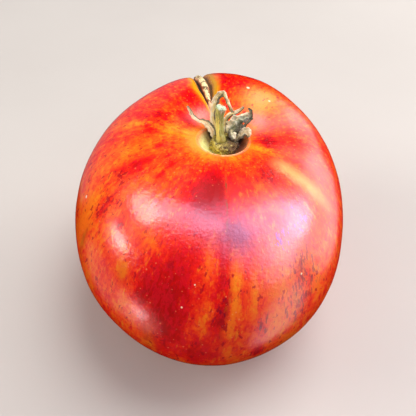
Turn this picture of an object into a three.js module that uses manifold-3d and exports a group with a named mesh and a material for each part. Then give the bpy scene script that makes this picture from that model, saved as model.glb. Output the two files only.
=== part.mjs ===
// A ripe beefsteak tomato as picked: a broad, softly lobed fruit with a healed crack over its
// shoulder, the short stem that stands in its pit, and the dried calyx round the stem.
// Millimetres, +Z up. The fruit stands on a small flat spot of its own, and its crack is at +Y.

import * as THREE from 'three';
import { mergeVertices } from 'three/addons/utils/BufferGeometryUtils.js';
import Module from 'manifold-3d';

const wasm = await Module();
wasm.setup();

// Fruit: driving dimensions
const RADIUS = 44;              // half width of the fruit without its lobes
const DEPTH_SCALE = 1.168;      // front to back, over side to side
const HEIGHT_ABOVE = 37;        // from the widest level up to the undented crown
const HEIGHT_BELOW = 36;        // from the widest level down to the blossom end
const POWER_ABOVE = 0.86;       // below 1 makes the shoulders broad
const POWER_BELOW = 0.93;
const CROWN_SHIFT = [3.5, 3.1]; // how far the crown lies off the middle
const BASE_SHIFT = [-0.5, 5.0]; // how far the blossom end does, which sets where the fruit rests
const LOBES = [                 // lobes round the fruit: count, height as a share, direction
  { count: 2, height: 0.013, degrees: -78 },
  { count: 3, height: 0.015, degrees: -51 },
  { count: 4, height: 0.006, degrees: -16 },
  { count: 5, height: 0.002, degrees: 15 },
  { count: 7, height: 0.003, degrees: 10 },
];
const LOBES_FROM = 0.1;         // share of the radius at which the lobes begin
const LOBES_FULL = 0.8;         // and at which they have their full height
const DEPTH_FROM = 0.1;         // the same for the longer way from front to back
const DEPTH_FULL = 0.9;
const SHIFT_FROM = -0.2;        // rise at which the crown's and the blossom end's shifts begin

// Hollow of the crown, and the pit in its middle that holds the stem
const DIP_DEPTH = 7;
const DIP_WIDTH = 19;
const DIP_FULL_RISE = 0.4;      // rise over the widest level at which the hollow is whole
const PIT_DEPTH = 3.4;
const PIT_FLOOR_RADIUS = 2.6;
const PIT_LIP_RADIUS = 6.75;
const PIT_OVAL = 0.10;          // the pit is wider side to side than front to back
const PIT_OVAL_END = 22;        // distance from the pit's middle at which the oval has faded

// How the fruit stands: its crown leans to -Y and a little to +X
const LEAN_DEGREES = 6.2;
const ROLL_DEGREES = 2.4;

// Flat spot: how far the lowest skin is pressed in, and how soft the edge of the spot is
const PRESSED_IN = 1.7;
const SPOT_EDGE = 1.0;
const LEVEL_STEPS = 90;         // steps, each way, in which the lowest skin is looked for
const LOWER_CAP = 0.25;         // share of the way up from the blossom end that is looked at

// Healed crack: a ridge of cork between two grooves, from the pit over the back shoulder
const CRACK_DEGREES = 105;
const CRACK_DRIFT_DEGREES = -3;
const CRACK_START = 8;          // distance from the pit's middle at which it begins
const CRACK_FULL = 24;          // distance at which it has its full depth
const CRACK_FADE_FROM = 72;     // angle down from the crown, in degrees
const CRACK_FADE_TO = 98;
const CRACK_GROOVE_DEPTH = 1.3;
const CRACK_GROOVE_OFFSET = 1.75;
const CRACK_GROOVE_WIDTH = 0.75;
const CRACK_RIDGE_RISE = 0.3;
const CRACK_RIDGE_WIDTH = 0.8;
const CRACK_VALLEY_DEPTH = 0.7;
const CRACK_VALLEY_WIDTH = 3.6;
const CRACK_NARROWEST = 0.4;    // its width at its ends, as a share of its full width
const NORMAL_STEP = 0.01;       // step in angle that the skin's normal is measured over

// Fruit: rings and meridians, with the meridians crowded at the crack
const PIT_RINGS = 8;
const BODY_RINGS = 36;
const RING_CROWDING = 0.7;
const MERIDIANS = 96;
const CROWDING_SHARE = 0.26;
const CROWDING_WIDTH = 0.35;

// Middle of the fruit's outline seen from above, before it is moved over the origin
const PLAN_CENTRE = [-0.2, 1.1];

// Stem
const CLEARANCE = 0.4;          // gap between the stem and the calyx
const SKIN_CLEARANCE = 0.5;     // gap between these two and the fruit
const STEM_PLACE = [-0.7, 0.6]; // from the middle of the pit
const STEM_ROUTE = [            // from the middle of the pit's floor
  [...STEM_PLACE, SKIN_CLEARANCE + 0.1],
  [...STEM_PLACE, 4.0],
  [-1.1, 1.5, 6.3],
  [-1.3, 2.6, 8.8],
  [-1.3, 3.4, 11.0],
  [-1.0, 4.2, 12.9],
];
const STEM_RADIUS = 1.3;
const STEM_FOOT_RADIUS = 1.75;
const STEM_TIP_RADIUS = 1.5;
const STEM_FLARE_FROM = 0.18;   // shares of its length at which the foot ends
const STEM_FLARE_TO = 0.42;
const STEM_SWELL_FROM = 0.7;    // shares of its length over which it swells to the cut
const STEM_SWELL_TO = 0.95;
const STEM_RIBS = 5;
const STEM_RIB_HEIGHT = 0.09;
const STEM_TWIST = 1.5;         // how far the ribs turn round it, in radians
const STEM_RINGS = 26;
const STEM_SIDES = 20;

// Calyx: a lumpy collar round the stem, and the dried sepals that grow from it
const COLLAR_PLACE = [0.1, 0.3]; // middle of its outer edge, from the middle of the pit
const COLLAR_RADIUS = 4.6;
const COLLAR_HEIGHT = 3.9;
const COLLAR_LUMPS = 6;
const COLLAR_LUMP_HEIGHT = 0.04;
const COLLAR_SIDES = 30;
const BORE_RADIUS = STEM_FOOT_RADIUS + CLEARANCE;
const BORE_CHAMFER = 0.3;

// Outline of the collar's section: how far out from the bore to its edge, as a share, and either
// how far over the pit's skin or how high.
const COLLAR_SECTION = [
  { out: 0, overSkin: SKIN_CLEARANCE },
  { out: 0.45, overSkin: SKIN_CLEARANCE },
  { out: 0.78, overSkin: SKIN_CLEARANCE + 0.2 },
  { out: 1, overSkin: SKIN_CLEARANCE + 0.6 },
  { out: 0.93, height: COLLAR_HEIGHT * 0.68 },
  { out: 0.62, height: COLLAR_HEIGHT * 0.93 },
  { out: 0.12, height: COLLAR_HEIGHT },
  { out: 0, height: COLLAR_HEIGHT - BORE_CHAMFER },
];
const SEPAL_THICKNESS = 0.7;
const SEPAL_STEPS = 16;
const SEPAL_STRIPS = 4;
const SEPAL_TURN_FROM = 0.05;   // shares of its length over which its face turns from the stem
const SEPAL_TURN_TO = 0.35;
const SEPAL_CUP = 0.6;
const SEPAL_PLEAT = 0.25;
const SEPAL_WAVES = 2.5;

// Each sepal: its route from the middle of the pit's floor, its half width along the route,
// the way its face looks beyond its root, and how strongly it is folded. A root that doesn't
// face the stem says which way it looks.
const SEPALS = {
  left: {
    route: [[-2.4, 2.7, 2.0], [-3.2, 3.9, 4.2], [-4.6, 4.8, 5.6], [-6, 5.1, 6.1], [-7.3, 5.4, 6.3],
      [-8.5, 6.1, 6.7], [-9.5, 7.1, 7.4], [-10.2, 7.6, 8.3], [-10.7, 7.9, 9.3]],
    halfWidths: [1.2, 1.3, 1.2, 0.85, 0.65, 0.65, 0.6, 0.5, 0.35],
    face: [0.1, -0.3, 0.95],
    fold: 0.25,
  },
  back: {
    route: [[-1.3, 3.5, 2.2], [-2.3, 4.6, 4.4], [-2.9, 6, 6.5], [-3, 7.5, 8.1], [-2.7, 8.9, 9.5],
      [-2.2, 10, 10.7], [-1.3, 10.5, 11.7], [-0.4, 10.8, 12.3], [0.3, 9.9, 11.8], [0.9, 8.7, 11],
      [1.5, 7.7, 10.2], [2, 6.8, 9.4], [3.1, 6.6, 8.8]],
    halfWidths: [1.2, 1.1, 0.9, 0.9, 1.0, 1.1, 0.9, 0.7, 0.6, 0.6, 0.6, 0.6, 0.35],
    face: [-0.3, -0.9, 0.4],
    fold: 0.3,
  },
  straw: {
    route: [[0.4, 3.5, 2.2], [0.4, 4.7, 4.4], [0.6, 6, 5.9], [1.3, 6.9, 6.8], [2.5, 7.4, 7.3],
      [3.7, 7.6, 7.8], [4.9, 8.1, 8.4], [5.8, 8.6, 9.2]],
    halfWidths: [1.0, 1.0, 0.9, 0.8, 0.7, 0.6, 0.5, 0.35],
    face: [0.1, -0.7, 0.7],
    fold: 0.2,
  },
  broad: {
    route: [[2.2, 2.2, 1.9], [2.2, 2.9, 3.6], [2.7, 3.8, 5], [3.7, 4.6, 6.1], [5.1, 5.4, 7],
      [6.6, 6, 7.7], [7.8, 6.3, 8.3], [7.7, 6.9, 9.1], [6.9, 7.2, 10]],
    halfWidths: [1.2, 1.6, 2.2, 2.2, 1.6, 1.1, 0.9, 0.6, 0.35],
    face: [-0.4, -0.6, 0.7],
    fold: 0.7,
  },
  lower: {
    route: [[3.1, 1.8, 1.8], [3.5, 2.6, 3.6], [4.2, 3.2, 4.8], [5.2, 3.8, 5.6], [6.4, 4.5, 6.2],
      [7.6, 5.2, 6.8], [8.5, 5.9, 7.5]],
    halfWidths: [1.1, 1.1, 1.0, 0.8, 0.6, 0.6, 0.35],
    face: [-0.5, -0.5, 0.6],
    fold: 0.2,
  },
  flap: {
    route: [[2.5, 3.4, 4.6], [2.4, 2.5, 5.1], [2.5, 1.5, 5.1], [2.7, 0.7, 4.6], [2.9, 0.1, 3.9]],
    halfWidths: [0.9, 1.1, 1.1, 1.0, 0.5],
    face: [0.1, -0.35, 0.9],
    rootFace: [0.1, -0.35, 0.9],
    fold: 0.35,
  },
  rim: {
    route: [[3, 0.2, 1.8], [4, 0.7, 3.4], [4.9, 1.3, 4.6], [5.9, 1.8, 5.4], [6.7, 1.7, 5.8],
      [7.1, 0.8, 5.6], [7.1, 0, 5.2]],
    halfWidths: [1.0, 1.1, 1.3, 1.4, 1.3, 1.0, 0.5],
    face: [-0.5, -0.2, 0.8],
    fold: 0.4,
  },
};

// Finishes: colour and roughness
const FINISHES = {
  fruit: { color: 0xd8331f, roughness: 0.28 },
  stem: { color: 0x9aa04a, roughness: 0.7 },
  calyx: { color: 0x7d7650, roughness: 0.85 },
};
const MERGE_TOLERANCE = 1e-5;

const radians = THREE.MathUtils.degToRad;

// A step from 0 to 1 between two places, soft at both ends.
function soft(from, to, at) {
  return THREE.MathUtils.smoothstep(at, from, to);
}

// A bell of height 1 and the given half width.
function bell(offset, width) {
  return Math.exp(-((offset / width) ** 2));
}

// Polar angle, from the crown down, at which the fruit's plain profile has this radius.
function polarAt(radius) {
  return Math.asin((radius / RADIUS) ** (1 / POWER_ABOVE));
}

// A point of the skin as it grew, without its crack, in the fruit's own axes: +Z runs from the
// blossom end to the stem, and the widest level is at 0.
function grownSkin(azimuth, polar) {
  const rise = Math.cos(polar);
  const above = rise > 0;
  const power = above ? POWER_ABOVE : POWER_BELOW;
  const radius = RADIUS * Math.max(Math.sin(polar), 0) ** power;

  let z = (above ? HEIGHT_ABOVE : HEIGHT_BELOW) * rise;
  if (above) {
    const bowl = THREE.MathUtils.clamp(
      (radius - PIT_FLOOR_RADIUS) / (PIT_LIP_RADIUS - PIT_FLOOR_RADIUS), 0, 1);
    z -= DIP_DEPTH * bell(radius, DIP_WIDTH) * soft(0, DIP_FULL_RISE, rise);
    z -= PIT_DEPTH * (1 - bowl * bowl);
  }

  let lobes = 0;
  for (const lobe of LOBES) {
    lobes += lobe.height * Math.cos(lobe.count * (azimuth - radians(lobe.degrees)));
  }
  const spread = radius * (1 + lobes * soft(LOBES_FROM, LOBES_FULL, radius / RADIUS));
  const depth = 1 + (DEPTH_SCALE - 1) * soft(DEPTH_FROM, DEPTH_FULL, radius / RADIUS);
  const oval = above ? PIT_OVAL * (1 - soft(PIT_LIP_RADIUS, PIT_OVAL_END, radius)) : 0;
  const crown = soft(SHIFT_FROM, 1, rise);
  const base = soft(SHIFT_FROM, 1, -rise);
  const x = spread * Math.cos(azimuth) * (1 + oval);
  const y = spread * Math.sin(azimuth) * depth * (1 - oval);
  return new THREE.Vector3(
    x + CROWN_SHIFT[0] * crown + BASE_SHIFT[0] * base,
    y + CROWN_SHIFT[1] * crown + BASE_SHIFT[1] * base,
    z,
  );
}

const lean = new THREE.Matrix4().makeRotationY(radians(ROLL_DEGREES))
  .multiply(new THREE.Matrix4().makeRotationX(radians(LEAN_DEGREES)));

// The lowest level of the leaning fruit before it is pressed flat.
function lowestLevel() {
  let lowest = 0;
  for (let turn = 0; turn < LEVEL_STEPS; turn += 1) {
    for (let step = 0; step <= LEVEL_STEPS; step += 1) {
      const azimuth = 2 * Math.PI * turn / LEVEL_STEPS;
      const polar = Math.PI * (1 - LOWER_CAP * step / LEVEL_STEPS);
      lowest = Math.min(lowest, grownSkin(azimuth, polar).applyMatrix4(lean).z);
    }
  }
  return lowest;
}

const restLevel = lowestLevel() + PRESSED_IN;

// Moves a point from the fruit's own axes to where it lies on the standing fruit.
function stood(point) {
  const placed = point.clone().applyMatrix4(lean);
  return placed.sub(new THREE.Vector3(...PLAN_CENTRE, restLevel));
}

// A point of the standing fruit's skin without its crack, with the lowest skin pressed flat.
function plainSkin(azimuth, polar) {
  const point = stood(grownSkin(azimuth, polar));
  if (point.z < -SPOT_EDGE) {
    point.z = 0;
  } else if (point.z < SPOT_EDGE) {
    point.z = (point.z + SPOT_EDGE) ** 2 / (4 * SPOT_EDGE);
  }
  return point;
}

// Azimuth of the crack at a distance from the pit's middle.
function crackAzimuth(radius) {
  return radians(CRACK_DEGREES + CRACK_DRIFT_DEGREES * radius / RADIUS);
}

// Height of the crack's cork and grooves over the plain skin.
function crackRelief(azimuth, polar) {
  const above = polar < Math.PI / 2;
  const radius = RADIUS * Math.max(Math.sin(polar), 0) ** (above ? POWER_ABOVE : POWER_BELOW);
  const begun = above ? soft(CRACK_START, CRACK_FULL, radius) : 1;
  const ended = soft(radians(CRACK_FADE_FROM), radians(CRACK_FADE_TO), polar);
  const strength = begun * (1 - ended);
  if (strength <= 0) {
    return 0;
  }
  const turn = azimuth - crackAzimuth(above ? radius : RADIUS);
  const across = Math.atan2(Math.sin(turn), Math.cos(turn)) * radius;
  const narrow = CRACK_NARROWEST + (1 - CRACK_NARROWEST) * strength;
  const groove = bell(Math.abs(across) - CRACK_GROOVE_OFFSET * narrow, CRACK_GROOVE_WIDTH * narrow);
  const ridge = bell(across, CRACK_RIDGE_WIDTH * narrow);
  const valley = bell(across, CRACK_VALLEY_WIDTH * narrow);
  return strength * (CRACK_RIDGE_RISE * ridge - CRACK_GROOVE_DEPTH * groove
    - CRACK_VALLEY_DEPTH * valley);
}

// A point of the fruit's skin with the crack raised and sunk along the skin's own normal.
function skin(azimuth, polar) {
  const point = plainSkin(azimuth, polar);
  const relief = crackRelief(azimuth, polar);
  if (relief === 0) {
    return point;
  }
  const down = plainSkin(azimuth, polar + NORMAL_STEP).sub(plainSkin(azimuth, polar - NORMAL_STEP));
  const round = plainSkin(azimuth + NORMAL_STEP, polar)
    .sub(plainSkin(azimuth - NORMAL_STEP, polar));
  const normal = down.cross(round).normalize();
  return point.addScaledVector(normal, relief);
}

// Azimuth of a meridian, with the meridians closer together at the crack.
function meridianAzimuth(index) {
  const even = (index / MERIDIANS - 0.5) * 2 * Math.PI;
  const bent = even - CROWDING_SHARE * Math.atan(even / CROWDING_WIDTH);
  const reach = Math.PI - CROWDING_SHARE * Math.atan(Math.PI / CROWDING_WIDTH);
  return crackAzimuth(0) + bent * Math.PI / reach;
}

// Polar angles of the rings: even steps of radius in the pit, then close at both ends.
function ringPolars() {
  const polars = [];
  for (let ring = 1; ring <= PIT_RINGS; ring += 1) {
    polars.push(polarAt(PIT_LIP_RADIUS * ring / PIT_RINGS));
  }
  const lip = polarAt(PIT_LIP_RADIUS);
  for (let ring = 1; ring < BODY_RINGS; ring += 1) {
    const share = ring / BODY_RINGS;
    const eased = share - RING_CROWDING * Math.sin(2 * Math.PI * share) / (2 * Math.PI);
    polars.push(lip + (Math.PI - lip) * eased);
  }
  return polars;
}

// A closed body from rings of equal length, with a single point or a flat fan at each end.
// Rings run anticlockwise seen against the way from the first to the last.
function bodyFromRings(rings, start, end) {
  const sides = rings[0].length;
  const points = [...rings.flat(), start, end];
  const startIndex = points.length - 2;
  const endIndex = points.length - 1;
  const index = [];
  for (let ring = 0; ring + 1 < rings.length; ring += 1) {
    for (let side = 0; side < sides; side += 1) {
      const next = (side + 1) % sides;
      const a = ring * sides + side;
      const b = ring * sides + next;
      const c = a + sides;
      const d = b + sides;
      index.push(a, b, d, a, d, c);
    }
  }
  const last = (rings.length - 1) * sides;
  for (let side = 0; side < sides; side += 1) {
    const next = (side + 1) % sides;
    index.push(startIndex, next, side);
    index.push(endIndex, last + side, last + next);
  }
  return geometryFrom(points, index);
}

// A geometry from points and the triangles between them.
function geometryFrom(points, index) {
  const geometry = new THREE.BufferGeometry().setFromPoints(points);
  geometry.setIndex(index);
  geometry.computeVertexNormals();
  return geometry;
}

function fruitGeometry() {
  const rings = ringPolars().map((polar) => {
    const ring = [];
    for (let meridian = 0; meridian < MERIDIANS; meridian += 1) {
      ring.push(skin(meridianAzimuth(meridian), polar));
    }
    return ring.reverse();
  });
  return bodyFromRings(rings, skin(0, 0), skin(0, Math.PI));
}

// Height of the pit's skin over the middle of its floor, in the fruit's own axes.
function pitHeight(x, y) {
  const wide = x / (1 + PIT_OVAL);
  const deep = y / (1 - PIT_OVAL);
  const point = grownSkin(Math.atan2(deep, wide), polarAt(Math.hypot(wide, deep)));
  return point.z - grownSkin(0, 0).z;
}

function smoothRoute(points) {
  return new THREE.CatmullRomCurve3(
    points.map((point) => new THREE.Vector3(...point)), false, 'centripetal');
}

// The stem: a ribbed rod that leans back, with a foot in the collar and a swollen cut end.
function stemGeometry() {
  const route = smoothRoute(STEM_ROUTE);
  const rings = [];
  for (let step = 0; step < STEM_RINGS; step += 1) {
    const share = step / (STEM_RINGS - 1);
    const middle = route.getPointAt(share);
    const along = route.getTangentAt(share);
    const right = new THREE.Vector3(1, 0, 0).addScaledVector(along, -along.x).normalize();
    const back = along.clone().cross(right);
    const flare = 1 - soft(STEM_FLARE_FROM, STEM_FLARE_TO, share);
    const tip = soft(STEM_SWELL_FROM, STEM_SWELL_TO, share);
    const plain = STEM_RADIUS + (STEM_FOOT_RADIUS - STEM_RADIUS) * flare
      + (STEM_TIP_RADIUS - STEM_RADIUS) * tip;
    const ribbing = STEM_RIB_HEIGHT * (1 - flare);
    const ring = [];
    for (let side = 0; side < STEM_SIDES; side += 1) {
      const angle = 2 * Math.PI * side / STEM_SIDES;
      const radius = plain * (1 + ribbing * Math.cos(STEM_RIBS * angle + STEM_TWIST * share));
      ring.push(middle.clone()
        .addScaledVector(right, radius * Math.cos(angle))
        .addScaledVector(back, radius * Math.sin(angle)));
    }
    rings.push(ring);
  }
  return bodyFromRings(rings, route.getPointAt(0), route.getPointAt(1));
}

// The collar: a lumpy mound that follows the pit's floor, with a bore for the stem.
function collarGeometry() {
  const points = [];
  const index = [];
  for (let side = 0; side < COLLAR_SIDES; side += 1) {
    const angle = 2 * Math.PI * side / COLLAR_SIDES;
    const lump = 1 + COLLAR_LUMP_HEIGHT * Math.cos(COLLAR_LUMPS * angle);
    const inner = [
      STEM_PLACE[0] + BORE_RADIUS * Math.cos(angle),
      STEM_PLACE[1] + BORE_RADIUS * Math.sin(angle),
    ];
    const outer = [
      COLLAR_PLACE[0] + COLLAR_RADIUS * lump * Math.cos(angle),
      COLLAR_PLACE[1] + COLLAR_RADIUS * lump * Math.sin(angle),
    ];
    for (const { out, overSkin, height } of COLLAR_SECTION) {
      const x = THREE.MathUtils.lerp(inner[0], outer[0], out);
      const y = THREE.MathUtils.lerp(inner[1], outer[1], out);
      const z = height === undefined ? pitHeight(x, y) + overSkin : height;
      points.push(new THREE.Vector3(x, y, z));
    }
  }
  const count = COLLAR_SECTION.length;
  for (let side = 0; side < COLLAR_SIDES; side += 1) {
    const next = (side + 1) % COLLAR_SIDES;
    for (let corner = 0; corner < count; corner += 1) {
      const beside = (corner + 1) % count;
      const a = side * count + corner;
      const b = side * count + beside;
      const c = next * count + corner;
      const d = next * count + beside;
      index.push(a, c, d, a, d, b);
    }
  }
  return geometryFrom(points, index);
}

// A value along a list of numbers that are spread evenly over 0 to 1.
function along(values, share) {
  const place = share * (values.length - 1);
  const before = Math.min(Math.floor(place), values.length - 2);
  return THREE.MathUtils.lerp(values[before], values[before + 1], place - before);
}

// A sepal: a thin blade on a route, folded along its length, alike on both faces.
function sepalGeometry(sepal) {
  const route = smoothRoute(sepal.route);
  const tipFace = new THREE.Vector3(...sepal.face).normalize();
  const stem = new THREE.Vector3(...STEM_PLACE, 0);
  const rootFace = sepal.rootFace
    ? new THREE.Vector3(...sepal.rootFace).normalize()
    : stem.sub(route.getPoint(0)).setZ(0).normalize();
  const upper = [];
  const lower = [];
  for (let step = 0; step <= SEPAL_STEPS; step += 1) {
    const share = step / SEPAL_STEPS;
    const middle = route.getPoint(share);
    const forward = route.getTangent(share);
    const face = rootFace.clone().lerp(tipFace, soft(SEPAL_TURN_FROM, SEPAL_TURN_TO, share));
    const side = face.cross(forward).normalize();
    const out = forward.clone().cross(side);
    const halfWidth = along(sepal.halfWidths, share);
    for (let strip = 0; strip <= SEPAL_STRIPS; strip += 1) {
      const across = 2 * strip / SEPAL_STRIPS - 1;
      const pleat = (strip % 2 === 0 ? 1 : -1) * Math.cos(SEPAL_WAVES * Math.PI * share);
      const lift = sepal.fold * halfWidth * (SEPAL_CUP * across * across + SEPAL_PLEAT * pleat);
      const point = middle.clone().addScaledVector(side, across * halfWidth);
      point.addScaledVector(out, lift);
      upper.push(point.clone().addScaledVector(out, SEPAL_THICKNESS / 2));
      lower.push(point.clone().addScaledVector(out, -SEPAL_THICKNESS / 2));
    }
  }
  const row = SEPAL_STRIPS + 1;
  const count = upper.length;
  const index = [];
  const wall = (from, to) => index.push(from, to, to + count, from, to + count, from + count);
  for (let step = 0; step < SEPAL_STEPS; step += 1) {
    for (let strip = 0; strip < SEPAL_STRIPS; strip += 1) {
      const a = step * row + strip;
      const b = a + 1;
      const c = a + row;
      const d = c + 1;
      index.push(a, d, b, a, c, d);
      index.push(a + count, b + count, d + count, a + count, d + count, c + count);
    }
    wall((step + 1) * row, step * row);
    wall(step * row + SEPAL_STRIPS, (step + 1) * row + SEPAL_STRIPS);
  }
  for (let strip = 0; strip < SEPAL_STRIPS; strip += 1) {
    wall(strip, strip + 1);
    wall(SEPAL_STEPS * row + strip + 1, SEPAL_STEPS * row + strip);
  }
  return geometryFrom([...upper, ...lower], index);
}

// A solid that can be joined with others, from a closed geometry.
function solidFrom(geometry) {
  const plain = geometry.clone();
  plain.deleteAttribute('normal');
  const merged = mergeVertices(plain, MERGE_TOLERANCE);
  return new wasm.Manifold(new wasm.Mesh({
    numProp: 3,
    vertProperties: Float32Array.from(merged.attributes.position.array),
    triVerts: Uint32Array.from(merged.index.array),
  }));
}

// The outermost shell of a solid, which leaves out any small hollow that crossing sepals close off.
function outerShell(solid) {
  const { vertProperties, triVerts } = solid.getMesh();
  const shell = Int32Array.from({ length: vertProperties.length / 3 }, (_, vertex) => vertex);
  const rootOf = (vertex) => {
    let root = vertex;
    while (shell[root] !== root) {
      root = shell[root];
    }
    shell[vertex] = root;
    return root;
  };
  for (let corner = 0; corner < triVerts.length; corner += 3) {
    shell[rootOf(triVerts[corner])] = rootOf(triVerts[corner + 1]);
    shell[rootOf(triVerts[corner + 1])] = rootOf(triVerts[corner + 2]);
  }
  const triangles = new Map();
  for (let corner = 0; corner < triVerts.length; corner += 3) {
    const root = rootOf(triVerts[corner]);
    if (!triangles.has(root)) {
      triangles.set(root, []);
    }
    triangles.get(root).push(...triVerts.slice(corner, corner + 3));
  }
  const largest = [...triangles.values()].sort((one, other) => other.length - one.length)[0];
  const geometry = new THREE.BufferGeometry();
  geometry.setAttribute('position', new THREE.BufferAttribute(vertProperties, 3));
  geometry.setIndex(largest);
  geometry.computeVertexNormals();
  return geometry;
}

// The calyx: the collar and its sepals, joined to one body.
function calyxGeometry() {
  let solid = solidFrom(collarGeometry());
  for (const sepal of Object.values(SEPALS)) {
    solid = solid.add(solidFrom(sepalGeometry(sepal)));
  }
  return outerShell(solid);
}

// A mesh under its part's name, in its finish.
function named(name, geometry) {
  const mesh = new THREE.Mesh(geometry, new THREE.MeshStandardMaterial(FINISHES[name]));
  mesh.name = name;
  return mesh;
}

// The stem and the calyx lean with the fruit, from the middle of the pit's floor.
const crown = new THREE.Group();
crown.position.copy(stood(grownSkin(0, 0)));
crown.setRotationFromMatrix(lean);
crown.add(named('stem', stemGeometry()));
crown.add(named('calyx', calyxGeometry()));

const tomato = new THREE.Group();
tomato.add(named('fruit', fruitGeometry()), crown);

export default tomato;
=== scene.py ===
"""A ripe, streaked beefsteak tomato as picked, dressed over the part's own solids.

The fruit, its stem, the dried calyx and the fine hairs are made here in the part's frame.
Sizes of the pieces are in millimetres and become metres where a mesh is made. The fruit's own
axes run from the blossom end up to the stem, and lean with the fruit as it stands.
"""

import logging
import math
from dataclasses import dataclass
from enum import Enum
from typing import Sequence, Union

import bmesh
import bpy
import numpy as np
from mathutils import Matrix, Vector, noise


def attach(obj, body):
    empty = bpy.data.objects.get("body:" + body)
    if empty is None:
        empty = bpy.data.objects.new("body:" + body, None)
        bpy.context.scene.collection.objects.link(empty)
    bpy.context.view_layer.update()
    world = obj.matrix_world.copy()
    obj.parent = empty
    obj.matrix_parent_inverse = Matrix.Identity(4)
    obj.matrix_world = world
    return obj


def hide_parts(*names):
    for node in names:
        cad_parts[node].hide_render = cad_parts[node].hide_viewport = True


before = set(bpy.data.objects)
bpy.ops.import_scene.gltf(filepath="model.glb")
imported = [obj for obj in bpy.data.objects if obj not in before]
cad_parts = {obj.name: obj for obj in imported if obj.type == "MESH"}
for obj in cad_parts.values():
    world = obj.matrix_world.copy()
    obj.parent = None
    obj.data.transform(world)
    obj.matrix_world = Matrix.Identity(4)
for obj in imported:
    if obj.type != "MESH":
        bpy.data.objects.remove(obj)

LOG = logging.getLogger("tomato")
MM = 0.001
FULL_TURN = 2 * math.pi
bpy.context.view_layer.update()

Colour = tuple[float, float, float, float]
Setting = Union[str, bool, int, float, list, bpy.types.ID]


def paint(red: int, green: int, blue: int) -> Colour:
    """Gives the linear colour of a screen colour.

    Args:
        red: Red from 0 to 255.
        green: Green from 0 to 255.
        blue: Blue from 0 to 255.

    Returns:
        The colour as the shaders take it.
    """
    linear = []
    for level in (red, green, blue):
        share = level / 255
        linear.append(share / 12.92 if share < 0.04045 else ((share + 0.055) / 1.055) ** 2.4)
    return (linear[0], linear[1], linear[2], 1.0)


class Value:
    """A number that varies over a surface, held by a node's output, to calculate with."""

    def __init__(self, graph: "Graph", socket: bpy.types.NodeSocket) -> None:
        """Keeps the graph and the output socket."""
        self.graph = graph
        self.socket = socket

    def __add__(self, other: "Number") -> "Value":
        """Adds a number."""
        return self.graph.maths("ADD", self, other)

    def __radd__(self, other: "Number") -> "Value":
        """Adds to a number."""
        return self.graph.maths("ADD", other, self)

    def __sub__(self, other: "Number") -> "Value":
        """Takes a number away."""
        return self.graph.maths("SUBTRACT", self, other)

    def __rsub__(self, other: "Number") -> "Value":
        """Is taken away from a number."""
        return self.graph.maths("SUBTRACT", other, self)

    def __mul__(self, other: "Number") -> "Value":
        """Multiplies by a number."""
        return self.graph.maths("MULTIPLY", self, other)

    def __rmul__(self, other: "Number") -> "Value":
        """Multiplies a number."""
        return self.graph.maths("MULTIPLY", other, self)

    def __truediv__(self, other: "Number") -> "Value":
        """Divides by a number."""
        return self.graph.maths("DIVIDE", self, other)

    def __rtruediv__(self, other: "Number") -> "Value":
        """Divides a number."""
        return self.graph.maths("DIVIDE", other, self)

    def __neg__(self) -> "Value":
        """Changes the sign."""
        return self.graph.maths("MULTIPLY", self, -1.0)


Number = Union[Value, float]


class PlainMaths:
    """The calculations of the fruit's form on plain numbers."""

    def sine(self, angle: float) -> float:
        """Gives the sine."""
        return math.sin(angle)

    def cosine(self, angle: float) -> float:
        """Gives the cosine."""
        return math.cos(angle)

    def power(self, base: float, exponent: float) -> float:
        """Raises a number that isn't negative to a power."""
        return max(base, 0.0) ** exponent

    def exceeds(self, value: float, limit: float) -> float:
        """Gives 1 above a limit, and otherwise 0."""
        return 1.0 if value > limit else 0.0

    def clamp(self, value: float, low: float = 0.0, high: float = 1.0) -> float:
        """Keeps a number between two limits."""
        return min(max(value, low), high)

    def soft(self, start: float, end: float, value: float) -> float:
        """Steps from 0 to 1 between two places, soft at both ends."""
        share = self.clamp((value - start) / (end - start))
        return share * share * (3 - 2 * share)

    def bell(self, offset: float, width: float) -> float:
        """Gives a bell of height 1 and the given half width."""
        return math.exp(-((offset / width) ** 2))


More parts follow.
